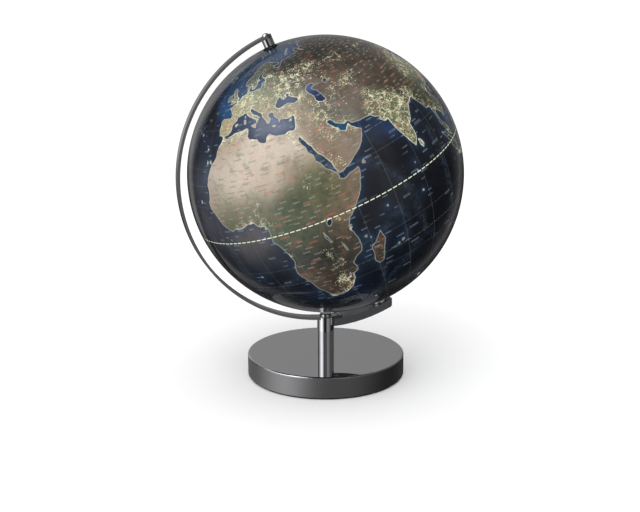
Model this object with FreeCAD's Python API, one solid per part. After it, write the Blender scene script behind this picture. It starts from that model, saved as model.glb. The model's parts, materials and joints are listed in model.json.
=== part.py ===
"""Desktop globe on a round base: the ball turns on its polar axis in a tilted meridian arm.

Millimetres, +Z up. The origin is the centre of the base's underside, where the stand meets the table.
The meridian arm lies in the XZ plane and the north pole leans towards -X.
"""
import FreeCAD, Part
import math
import os

V = FreeCAD.Vector

# ---- driving dimensions ----------------------------------------------------------------------
GLOBE_R = 125.0            # a 250 mm ball
SHELL_T = 1.6
TILT = 23.5                # degrees, the Earth's axial tilt
CENTRE_Z = 189.5           # height of the ball's centre above the table

BASE_R = 73.5
BASE_TOP = 21.0
BASE_WALL = 5.0
BASE_ROOF = 6.0            # thickness under the polished top face
PAD_T = 1.5
PLATE_T = 2.0

STEM_R = 8.0
STEM_BORE_R = 6.2
BOLT_R = 2.5

ARM_IN_R = 133.6           # inner face of the strip, from the ball's centre
ARM_T = 2.5
ARM_W = 10.0
ARM_TONGUE = 6.2           # degrees that the strip runs on past the stem

HOUSING_OUT_R = 141.8
HOUSING_W = 20.0
HOUSING_WALL = 1.5
HOUSING_START_X = 5.3      # the housing and its cover are hollowed here to fit round the stem
HOUSING_END_X = 62.5
COVER_IN_R = 134.9
COVER_T = 1.5
SEAT_END_X = 14.0          # end of the housing's solid seat for the arm's tongue
NOTCH_END_X = 14.9         # end of the notch in the cover round that tongue

PIVOT_R = 2.5              # north pivot pin
PIVOT_HEAD_R = 3.5
PIVOT_HEAD_RISE = 2.1
NECK_R = 8.0               # lamp tube that the south bush turns on
RUN = 0.06                 # radial running clearance in both pole bushes
FIT = 0.1                  # clearance of fixed pieces in their holes
STEM_GAP = 0.3             # between the stem and the housing round it

LEAD_R = 1.2
LEAD_X = 4.35              # the lead climbs the stem beside the tie bolt
LEAD_TRACK_R = 138.6       # and follows the housing at this distance from the ball's centre
INLET_Z = 9.5              # height of the power inlet and of the lead inside the base
INLET_LENGTH = 14.0

# ---- dimensions worked out from them ---------------------------------------------------------
ARM_OUT_R = ARM_IN_R + ARM_T
ARM_BOTTOM = CENTRE_Z - ARM_OUT_R
STEM_SLOT_Z = ARM_BOTTOM - 0.3
STEM_TOP = ARM_BOTTOM + ARM_T - 0.05
COVER_OUT_R = COVER_IN_R + COVER_T
INLET_SEAT_Y = BASE_R - 1.2
INLET_BACK_Y = INLET_SEAT_Y - INLET_LENGTH
CAVITY_R = BASE_R - BASE_WALL
CAVITY_TOP = BASE_TOP - BASE_ROOF
PLATE_TOP = PAD_T + PLATE_T
CENTRE = V(0, 0, CENTRE_Z)


# ---- helpers ---------------------------------------------------------------------------------
def cyl(r, z0, z1, x=0.0, y=0.0):
    return Part.makeCylinder(r, z1 - z0, V(x, y, z0))


def box(x0, x1, y0, y1, z0, z1):
    return Part.makeBox(x1 - x0, y1 - y0, z1 - z0, V(x0, y0, z0))


def turned(profile):
    """A turned piece about Z from (radius, height) points."""
    points = [V(r, 0, z) for r, z in profile]
    face = Part.Face(Part.makePolygon(points + points[:1]))
    return face.revolve(V(0, 0, 0), V(0, 0, 1), 360)


def on_axis(shape):
    """Take a piece drawn about Z, with the ball's centre at zero, to the tilted polar axis."""
    shape = shape.copy()
    shape.rotate(V(0, 0, 0), V(0, 1, 0), -TILT)
    shape.translate(CENTRE)
    return shape


def hexagon(across_flats, z0, z1):
    r = across_flats / 2 / math.cos(math.radians(30))
    corners = [V(r * math.cos(math.radians(a)), r * math.sin(math.radians(a)), z0) for a in range(0, 360, 60)]
    return Part.Face(Part.makePolygon(corners + corners[:1])).extrude(V(0, 0, z1 - z0))


def below(radius, degrees):
    """A point in the arm's plane, at this radius and angle from straight below towards +X."""
    a = math.radians(degrees)
    return V(radius * math.sin(a), 0, CENTRE_Z - radius * math.cos(a))


def at_angle(degrees):
    """The function that turns a piece drawn below the ball's centre round to this angle."""
    def place(shape):
        shape = shape.copy()
        shape.rotate(CENTRE, V(0, 1, 0), -degrees)
        return shape
    return place


def strip(r0, r1, a0, a1, width):
    """A curved strip about the ball's centre between two angles, centred on y = 0."""
    mid = (a0 + a1) / 2
    edges = [
        Part.Arc(below(r0, a0), below(r0, mid), below(r0, a1)).toShape(),
        Part.LineSegment(below(r0, a1), below(r1, a1)).toShape(),
        Part.Arc(below(r1, a1), below(r1, mid), below(r1, a0)).toShape(),
        Part.LineSegment(below(r1, a0), below(r0, a0)).toShape(),
    ]
    face = Part.Face(Part.Wire(edges))
    face.translate(V(0, -width / 2, 0))
    return face.extrude(V(0, width, 0))


def near(shape, test):
    """The edges of a shape whose centre passes the test."""
    return [e for e in shape.Edges if test(e.CenterOfMass, e)]


def countersunk(r, head_r, z_head, length):
    """A countersunk screw whose flat head looks down at z_head, pointing up."""
    sink = head_r - r
    z_tip = z_head + length
    return turned([(0, z_head), (head_r, z_head), (r, z_head + sink), (r, z_tip), (0, z_tip)])


def sink_cone(head_r, z, y=0.0):
    """The 45 degree seat of a countersunk head: head_r wide at z, narrowing upwards to a point."""
    mouth_r = head_r + 0.3
    tip_r = 0.3
    return Part.makeCone(mouth_r, tip_r, mouth_r - tip_r, V(0, y, z - mouth_r + head_r))


# ---- base ------------------------------------------------------------------------------------
FOOT_SCREW_RING = 58.0
FOOT_SCREW_ANGLES = (30, 150, 270)


def ring_places(radius, angles):
    return [(radius * math.cos(math.radians(a)), radius * math.sin(math.radians(a))) for a in angles]


def base_disc():
    body = cyl(BASE_R, PAD_T, BASE_TOP)
    top = near(body, lambda c, e: abs(c.z - BASE_TOP) < 0.1)
    body = body.makeFillet(2.0, top)
    foot = near(body, lambda c, e: abs(c.z - PAD_T) < 0.1 and e.Length > 100)
    body = body.makeFillet(0.6, foot)
    hollow = cyl(CAVITY_R, PAD_T, CAVITY_TOP)
    for x, y in ring_places(FOOT_SCREW_RING, FOOT_SCREW_ANGLES):
        hollow = hollow.cut(cyl(4.0, PLATE_TOP, CAVITY_TOP, x, y))
    hub = cyl(14.0, 8.0, CAVITY_TOP)
    body = body.cut(hollow.cut(hub))
    for x, y in ring_places(FOOT_SCREW_RING, FOOT_SCREW_ANGLES):
        body = body.cut(cyl(1.55, PLATE_TOP, 13.0, x, y))
    body = body.cut(cyl(BOLT_R + FIT, 0, BASE_TOP))
    body = body.cut(cyl(LEAD_R + 0.5, 0, BASE_TOP, LEAD_X, 0))
    body = body.cut(box(LEAD_X - 2.4, LEAD_X + 2.4, -1.9, 16.0, 0, CAVITY_TOP))
    body = body.cut(cyl(STEM_R + FIT, BASE_TOP - 1.5, BASE_TOP + 1))
    inlet_hole = Part.makeCylinder(4.1, BASE_WALL + 6, V(0, CAVITY_R - 3, INLET_Z), V(0, 1, 0))
    inlet_flat = Part.makeCylinder(6.6, 6, V(0, INLET_SEAT_Y, INLET_Z), V(0, 1, 0))
    return body.cut(inlet_hole).cut(inlet_flat)


def base_weight():
    ring = cyl(50.0, PLATE_TOP + 0.3, 12.0).cut(cyl(22.0, 0, 20))
    return ring.cut(box(-6, 10, 0, 60, 0, 20))


def base_plate():
    plate = cyl(CAVITY_R - 0.2, PAD_T, PLATE_TOP)
    for x, y in ring_places(FOOT_SCREW_RING, FOOT_SCREW_ANGLES):
        plate = plate.cut(cyl(1.6, 0, 5, x, y))
        seat = sink_cone(3.1, PAD_T, y)
        seat.translate(V(x, 0, 0))
        plate = plate.cut(seat)
    return plate


def base_screws():
    screws = []
    for x, y in ring_places(FOOT_SCREW_RING, FOOT_SCREW_ANGLES):
        screw = countersunk(1.5, 2.9, PAD_T, 10.0)
        screw.translate(V(x, y, 0))
        screws.append(screw)
    return Part.makeCompound(screws)


def foot_pad():
    """The full soft disc under the base; it covers the plate and its screws."""
    pad = cyl(BASE_R - 2.0, 0, PAD_T)
    return pad.makeFillet(0.4, near(pad, lambda c, e: c.z < 0.1 and e.Length > 400))


def power_inlet():
    """A round panel socket in the back of the base, with its flange in a spot-faced seat."""
    jack = turned([(0, -INLET_LENGTH), (4.0, -INLET_LENGTH), (4.0, 0), (6.3, 0), (6.3, 1.0), (5.7, 1.6),
                   (2.9, 1.6), (2.9, -9.0), (1.0, -9.0), (1.0, 0.2), (0.7, 0.6), (0, 0.6)])
    jack.rotate(V(0, 0, 0), V(1, 0, 0), -90)
    jack.translate(V(0, INLET_SEAT_Y, INLET_Z))
    return jack


def inlet_nut():
    """The ring nut that holds the socket from inside the base wall."""
    nut = hexagon(11.0, 0, 2.2).cut(cyl(4.05, -1, 4))
    nut.rotate(V(0, 0, 0), V(1, 0, 0), -90)
    nut.translate(V(0, CAVITY_R - 2.75, INLET_Z))
    return nut


# ---- stem ------------------------------------------------------------------------------------
def stem_tube():
    """The round stem; two cheeks at its top hold the arm between them."""
    tube = cyl(STEM_R, BASE_TOP - 1.5, STEM_TOP)
    crown = near(tube, lambda c, e: abs(c.z - STEM_TOP) < 0.05)
    tube = tube.makeChamfer(0.5, crown)
    half_slot = ARM_W / 2 + 0.05
    tube = tube.cut(box(-20, 20, -half_slot, half_slot, STEM_SLOT_Z, STEM_TOP + 1))
    tube = tube.cut(cyl(STEM_BORE_R, 0, ARM_BOTTOM - 6))
    tube = tube.cut(cyl(BOLT_R + FIT, 0, ARM_BOTTOM + 5))
    slot = box(LEAD_X - 2.0, STEM_R + 2, -1.9, 1.9, ARM_BOTTOM - 10, ARM_BOTTOM - 0.9)
    return tube.cut(slot.cut(cyl(BOLT_R + 0.5, 0, ARM_BOTTOM + 5)))


BOLT_HEAD_Z = 3.9
BOLT_END_Z = CENTRE_Z - ARM_IN_R + 1.7
CAP_NUT_R = 5.6


def tie_bolt():
    head = hexagon(8.0, BOLT_HEAD_Z, BOLT_HEAD_Z + 3.0)
    return head.fuse(cyl(BOLT_R, BOLT_HEAD_Z, BOLT_END_Z))


def tie_washer():
    return cyl(8.0, BOLT_HEAD_Z + 3.0, 8.0).cut(cyl(BOLT_R + FIT, 0, 20))


def arm_cap_nut():
    """The low round nut on top of the arm, over the stem."""
    r = CAP_NUT_R
    z0 = CENTRE_Z - math.sqrt(ARM_IN_R ** 2 - r ** 2) + 0.03
    nut = turned([(0, z0), (r, z0), (r, z0 + 1.9), (r - 0.7, z0 + 2.6), (0, z0 + 2.6)])
    return nut.cut(cyl(BOLT_R + 0.03, 0, BOLT_END_Z + 0.1))


# ---- arm and lamp housing --------------------------------------------------------------------
HOUSING_SCREW_ANGLE = 4.6
HOUSING_SCREW_Y = 3.3
COVER_SCREW_ANGLE = 8.4


def housing_screw_holes(r):
    z0 = CENTRE_Z - HOUSING_OUT_R - 2
    holes = [cyl(r, z0, CENTRE_Z - 120, 0, y) for y in (-HOUSING_SCREW_Y, HOUSING_SCREW_Y)]
    return [at_angle(HOUSING_SCREW_ANGLE)(hole) for hole in holes]


def meridian_arm():
    north = TILT - 180.0
    arm = strip(ARM_IN_R, ARM_OUT_R, north, ARM_TONGUE, ARM_W)
    tip = cyl(ARM_W / 2, 130, 140).common(Part.makeCylinder(ARM_OUT_R, 20, V(0, -10, 0), V(0, 1, 0)))
    tip = tip.cut(Part.makeCylinder(ARM_IN_R, 20, V(0, -10, 0), V(0, 1, 0)))
    arm = arm.fuse(on_axis(tip)).removeSplitter()
    arm = arm.cut(on_axis(cyl(PIVOT_R + FIT, 120, 140)))
    arm = arm.cut(cyl(BOLT_R + FIT, 40, 60))
    for hole in housing_screw_holes(1.25):
        arm = arm.cut(hole)
    return arm


def housing_section(r_in, r_out, x0, x1, width):
    """The housing's curved outline, cut off square to the table at both ends."""
    return strip(r_in, r_out, 0.0, 40.0, width).common(box(x0, x1, -width, width, 0, CENTRE_Z))


def lamp_housing():
    body = housing_section(COVER_OUT_R, HOUSING_OUT_R, HOUSING_START_X, HOUSING_END_X, HOUSING_W)
    nose = near(body, lambda c, e: (abs(c.x - HOUSING_END_X) < 0.05 and abs(c.y) < 0.1
                                    and c.z < CENTRE_Z - 126))
    body = body.makeFillet(2.5, nose)
    tongue_seat = housing_section(ARM_OUT_R + 0.02, COVER_OUT_R + 1, HOUSING_START_X, SEAT_END_X, ARM_W)
    body = body.fuse(tongue_seat).removeSplitter().cut(cyl(STEM_R + STEM_GAP, 0, CENTRE_Z))
    cavity = housing_section(COVER_OUT_R - 2, HOUSING_OUT_R - HOUSING_WALL, SEAT_END_X + 0.6,
                             HOUSING_END_X - HOUSING_WALL, HOUSING_W - 2 * HOUSING_WALL)
    at_screw = at_angle(COVER_SCREW_ANGLE)
    boss = at_screw(cyl(2.4, CENTRE_Z - HOUSING_OUT_R + 0.5, CENTRE_Z - COVER_OUT_R, 0, 5.0))
    body = body.cut(cavity.cut(boss))
    body = body.cut(at_screw(cyl(0.95, CENTRE_Z - COVER_OUT_R - 3.2, CENTRE_Z - 130, 0, 5.0)))
    lead_hole = cyl(1.7, 0, 10)
    lead_hole.rotate(V(0, 0, 0), V(0, 1, 0), 90 - 4.6)
    lead_hole.translate(below(LEAD_TRACK_R, 2.6))
    body = body.cut(lead_hole)
    for hole in housing_screw_holes(1.25):
        body = body.cut(hole)
    for y in (-HOUSING_SCREW_Y, HOUSING_SCREW_Y):
        body = body.cut(at_angle(HOUSING_SCREW_ANGLE)(sink_cone(2.5, CENTRE_Z - HOUSING_OUT_R, y)))
    return body


def housing_cover():
    cover = housing_section(COVER_IN_R, COVER_OUT_R, HOUSING_START_X, HOUSING_END_X, HOUSING_W)
    cover = cover.cut(box(0, NOTCH_END_X, -ARM_W / 2 - FIT, ARM_W / 2 + FIT, 0, CENTRE_Z))
    cover = cover.cut(cyl(STEM_R + STEM_GAP, 0, CENTRE_Z))
    cover = cover.cut(on_axis(cyl(4.5, -140, -130)))
    for y in (-6.2, 6.2):
        cover = cover.cut(on_axis(cyl(1.05, -140, -130, 0, y)))
        cover = cover.cut(on_axis(sink_cone(2.1, -COVER_OUT_R, y)))
    screw_hole = cyl(1.05, CENTRE_Z - 138, CENTRE_Z - 130, 0, 5.0)
    sink = Part.makeCone(1.05, 2.1, 1.05, V(0, 5.0, CENTRE_Z - COVER_IN_R - 1.0))
    for tool in (screw_hole, sink):
        cover = cover.cut(at_angle(COVER_SCREW_ANGLE)(tool))
    return cover


def housing_screws():
    screws = []
    for y in (-HOUSING_SCREW_Y, HOUSING_SCREW_Y):
        screw = countersunk(1.2, 2.35, CENTRE_Z - HOUSING_OUT_R + 0.05, 7.2)
        screw.translate(V(0, y, 0))
        screws.append(at_angle(HOUSING_SCREW_ANGLE)(screw))
    return Part.makeCompound(screws)


def cover_screw():
    top = CENTRE_Z - COVER_IN_R - 0.1
    screw = turned([(0, top), (1.95, top), (0.9, top - 1.05), (0.9, top - 4.0), (0, top - 4.0)])
    screw.translate(V(0, 5.0, 0))
    return at_angle(COVER_SCREW_ANGLE)(screw)


# ---- north pivot -----------------------------------------------------------------------------
def north_pivot_screw():
    """A pin with a low domed head through the arm, the spacer and the ball's north bush."""
    seat = ARM_OUT_R + 0.05
    dome_r = (PIVOT_HEAD_R ** 2 + PIVOT_HEAD_RISE ** 2) / (2 * PIVOT_HEAD_RISE)
    dome = Part.makeSphere(dome_r, V(0, 0, seat + PIVOT_HEAD_RISE - dome_r))
    dome = dome.cut(box(-5, 5, -5, 5, seat - 10, seat))
    return on_axis(dome.fuse(cyl(PIVOT_R, 114.0, seat + 1.0)).removeSplitter())


def north_spacer():
    top = math.sqrt(ARM_IN_R ** 2 - (ARM_W / 2) ** 2) - 0.05
    r = ARM_W / 2
    bore = PIVOT_R + FIT
    return on_axis(turned([(bore, 126.4), (r - 0.6, 126.4), (r, 127.0), (r, top), (bore, top)]))


# ---- ball ------------------------------------------------------------------------------------
NORTH_HOLE_R = 4.6
SOUTH_HOLE_R = 13.1


def hemisphere(sign):
    ball = Part.makeSphere(GLOBE_R).cut(Part.makeSphere(GLOBE_R - SHELL_T))
    half = box(-200, 200, -200, 200, 0, 200) if sign > 0 else box(-200, 200, -200, 200, -200, 0)
    hole = cyl(NORTH_HOLE_R, 100, 140) if sign > 0 else cyl(SOUTH_HOLE_R, -140, -100)
    return on_axis(ball.common(half).cut(hole))


def equator_ring():
    """The hoop inside the ball that the two halves are glued to."""
    outer = GLOBE_R - SHELL_T - 0.05
    zone = Part.makeSphere(outer).cut(Part.makeSphere(outer - 1.8))
    return on_axis(zone.common(box(-200, 200, -200, 200, -6, 6)))


def north_bush():
    r = NORTH_HOLE_R - FIT
    bore = PIVOT_R + RUN
    return on_axis(turned([(0, 111.5), (r, 111.5), (r, 125.05), (6.6, 125.05), (6.6, 125.6), (6.2, 125.95),
                           (bore, 125.95), (bore, 113.0), (0, 113.0)]))


def north_clip():
    """The spring ring that holds the north bush from inside."""
    return on_axis(cyl(8.0, 121.6, 122.6).cut(cyl(NORTH_HOLE_R - 0.05, 120, 124)))


def south_bush():
    r = SOUTH_HOLE_R - FIT
    bore = NECK_R + RUN
    return on_axis(turned([(bore, -125.5), (14.6, -125.5), (15.0, -125.1), (15.0, -124.35), (r, -124.35),
                           (r, -116.0), (bore, -116.0)]))


def south_clip():
    return on_axis(cyl(16.5, -121.6, -120.4).cut(cyl(SOUTH_HOLE_R - 0.05, -124, -118)))


# ---- lamp ------------------------------------------------------------------------------------
def lamp_tube():
    """The fixed neck that carries the lamp; the south bush turns on it."""
    flange_r = 8.5
    base = -math.sqrt(COVER_IN_R ** 2 - flange_r ** 2) + 0.05
    tube = turned([(5.0, base), (flange_r, base), (flange_r, base + 1.6), (NECK_R + 0.4, base + 2.0),
                   (NECK_R, base + 2.4), (NECK_R, -104.0), (6.5, -104.0), (6.5, base + 4.0),
                   (5.0, base + 4.0)])
    for y in (-6.2, 6.2):
        tube = tube.cut(cyl(0.95, base - 1, base + 3.4, 0, y))
    return on_axis(tube)


def neck_screws():
    screws = []
    for y in (-6.2, 6.2):
        screw = countersunk(0.9, 1.95, -COVER_OUT_R + 0.1, 4.6)
        screw.translate(V(0, y, 0))
        screws.append(on_axis(screw))
    return Part.makeCompound(screws)


def lamp_holder():
    return on_axis(turned([(2.2, -109.0), (6.4, -109.0), (6.4, -103.9), (11.0, -103.9), (11.0, -90.0),
                           (7.3, -90.0), (7.3, -101.5), (2.2, -101.5)]))


def bulb_base():
    return on_axis(turned([(0, -101.0), (4.0, -101.0), (7.0, -99.5), (7.0, -88.0), (15.0, -70.0),
                           (14.0, -69.0), (0, -69.0)]))


def bulb_dome():
    dome = Part.makeSphere(16.0, V(0, 0, -61.0))
    return on_axis(dome.cut(box(-20, 20, -20, 20, -90, -68.9)))


# ---- lead ------------------------------------------------------------------------------------
def arc(centre, start, end, u, v):
    """An arc about centre in the plane of the unit vectors u and v; it passes between them."""
    middle = centre + (u + v).normalize() * start.distanceToPoint(centre)
    return Part.Arc(start, middle, end).toShape()


def lead_route():
    """Straight runs and tangent arcs from the inlet, up the stem, along the housing, up the neck."""
    bend = 5.0
    start = V(0, INLET_BACK_Y - FIT, INLET_Z)
    foot = V(LEAD_X, 0, INLET_Z)
    back = (start - foot).normalize()
    up = V(0, 0, 1)
    corner = foot + back * bend + up * bend
    first = Part.LineSegment(start, foot + back * bend).toShape()
    turn_up = arc(corner, foot + back * bend, foot + up * bend, V(0, 0, -1), back * -1)
    reach = LEAD_TRACK_R + bend
    x_mid = LEAD_X + bend
    z_mid = CENTRE_Z - math.sqrt(reach ** 2 - x_mid ** 2)
    turn_centre = V(x_mid, 0, z_mid)
    join_angle = math.degrees(math.asin(x_mid / reach))
    join = below(LEAD_TRACK_R, join_angle)
    rise = Part.LineSegment(foot + up * bend, V(LEAD_X, 0, z_mid)).toShape()
    turn_out = arc(turn_centre, V(LEAD_X, 0, z_mid), join, V(-1, 0, 0), (join - turn_centre).normalize())
    small = 4.0
    last_reach = LEAD_TRACK_R - small
    leave_angle = TILT - math.degrees(math.asin(small / last_reach))
    leave = below(LEAD_TRACK_R, leave_angle)
    track = Part.Arc(join, below(LEAD_TRACK_R, (join_angle + leave_angle) / 2), leave).toShape()
    last_centre = below(last_reach, leave_angle)
    on_neck = below(math.sqrt(last_reach ** 2 - small ** 2), TILT)
    turn_in = arc(last_centre, leave, on_neck, (leave - last_centre).normalize(),
                  (on_neck - last_centre).normalize())
    climb = Part.LineSegment(on_neck, below(101.6, TILT)).toShape()
    return [first, turn_up, rise, turn_out, track, turn_in, climb], start, back * -1


def lamp_lead():
    edges, start, direction = lead_route()
    path = Part.Wire(edges)
    section = Part.Wire(Part.makeCircle(LEAD_R, start, direction))
    lead = path.makePipeShell([section], True, False)
    print("lead length %.1f, volume %.1f, section x length %.1f" % (
        path.Length, lead.Volume, math.pi * LEAD_R ** 2 * path.Length))
    return lead


PARTS = {
    "base_disc": base_disc,
    "base_weight": base_weight,
    "base_plate": base_plate,
    "base_screws": base_screws,
    "foot_pad": foot_pad,
    "power_inlet": power_inlet,
    "inlet_nut": inlet_nut,
    "stem_tube": stem_tube,
    "tie_bolt": tie_bolt,
    "tie_washer": tie_washer,
    "arm_cap_nut": arm_cap_nut,
    "meridian_arm": meridian_arm,
    "lamp_housing": lamp_housing,
    "housing_cover": housing_cover,
    "housing_screws": housing_screws,
    "cover_screw": cover_screw,
    "north_pivot_screw": north_pivot_screw,
    "north_spacer": north_spacer,
    "lamp_tube": lamp_tube,
    "neck_screws": neck_screws,
    "lamp_holder": lamp_holder,
    "bulb_base": bulb_base,
    "bulb_dome": bulb_dome,
    "lamp_lead": lamp_lead,
    "globe_shell_north": lambda: hemisphere(1),
    "globe_shell_south": lambda: hemisphere(-1),
    "equator_ring": equator_ring,
    "north_bush": north_bush,
    "north_clip": north_clip,
    "south_bush": south_bush,
    "south_clip": south_clip,
}


def main():
    os.makedirs("parts", exist_ok=True)
    for name, make in PARTS.items():
        shape = make()
        facts = (name, len(shape.Solids), shape.isValid(), shape.Volume)
        print("%-18s solids %d valid %s volume %.0f" % facts)
        shape.exportStep("parts/%s.step" % name)


main()
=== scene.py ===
"""Looks of the desktop globe: the printed ball, the polished stand, and a plain studio around them."""

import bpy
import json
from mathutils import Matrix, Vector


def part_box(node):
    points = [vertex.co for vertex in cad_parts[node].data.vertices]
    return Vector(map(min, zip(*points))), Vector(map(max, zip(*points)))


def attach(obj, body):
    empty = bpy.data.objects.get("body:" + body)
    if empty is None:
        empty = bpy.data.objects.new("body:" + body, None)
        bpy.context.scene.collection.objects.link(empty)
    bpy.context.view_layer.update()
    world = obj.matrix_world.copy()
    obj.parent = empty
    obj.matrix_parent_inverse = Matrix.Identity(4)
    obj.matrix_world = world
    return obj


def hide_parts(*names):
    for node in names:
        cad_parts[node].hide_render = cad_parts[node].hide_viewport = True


bl_info = {
    "name": "Desktop Globe",
    "version": (1, 0, 0),
    "blender": (4, 5, 0),
    "location": "View3D > Sidebar > Globe",
    "description": "Makes the map ball, the polished stand and the studio of a desktop globe",
    "category": "Add Mesh",
}

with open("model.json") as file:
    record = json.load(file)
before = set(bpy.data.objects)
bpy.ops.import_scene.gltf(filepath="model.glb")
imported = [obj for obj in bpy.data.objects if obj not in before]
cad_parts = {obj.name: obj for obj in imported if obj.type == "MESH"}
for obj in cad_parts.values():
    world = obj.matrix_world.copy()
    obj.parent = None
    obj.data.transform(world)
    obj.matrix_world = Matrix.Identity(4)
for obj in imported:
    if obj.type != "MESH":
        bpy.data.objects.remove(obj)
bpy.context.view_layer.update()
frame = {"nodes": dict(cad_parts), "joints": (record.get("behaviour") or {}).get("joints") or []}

import json
import math

import bmesh
import bpy
import numpy as np
from bpy.props import FloatProperty, FloatVectorProperty, PointerProperty
from mathutils import Matrix, Quaternion, Vector

MM = 0.001

SPIN = frame["joints"][0]
CENTRE = Vector(SPIN["pos_m"])
POLE = Vector(SPIN["axis"]).normalized()
TILT = math.atan2(-POLE.x, POLE.z)
BALL_R = (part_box("globe_shell_north")[1].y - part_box("globe_shell_north")[0].y) / 2
BALL_WALL = 1.6 * MM
NORTH_HOLE_R = 4.6 * MM
SOUTH_HOLE_R = 13.1 * MM
BASE_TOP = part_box("base_disc")[1].z

# Turns a piece drawn about Z with the ball's centre at zero to the tilted polar axis.
TO_AXIS = Matrix.Translation(CENTRE) @ Matrix.Rotation(-TILT, 4, "Y")

OUTER_LEVEL, INNER_LEVEL = 8, 6     # how often the faces of each skin of the ball are divided
SKIN_TURN = 0.31                    # radians; keeps the corners of the undivided skins away from the poles
CREASE = math.radians(35)           # edges sharper than this stay sharp


# ---- the map, as points of longitude and latitude ------------------------------------------------

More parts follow.
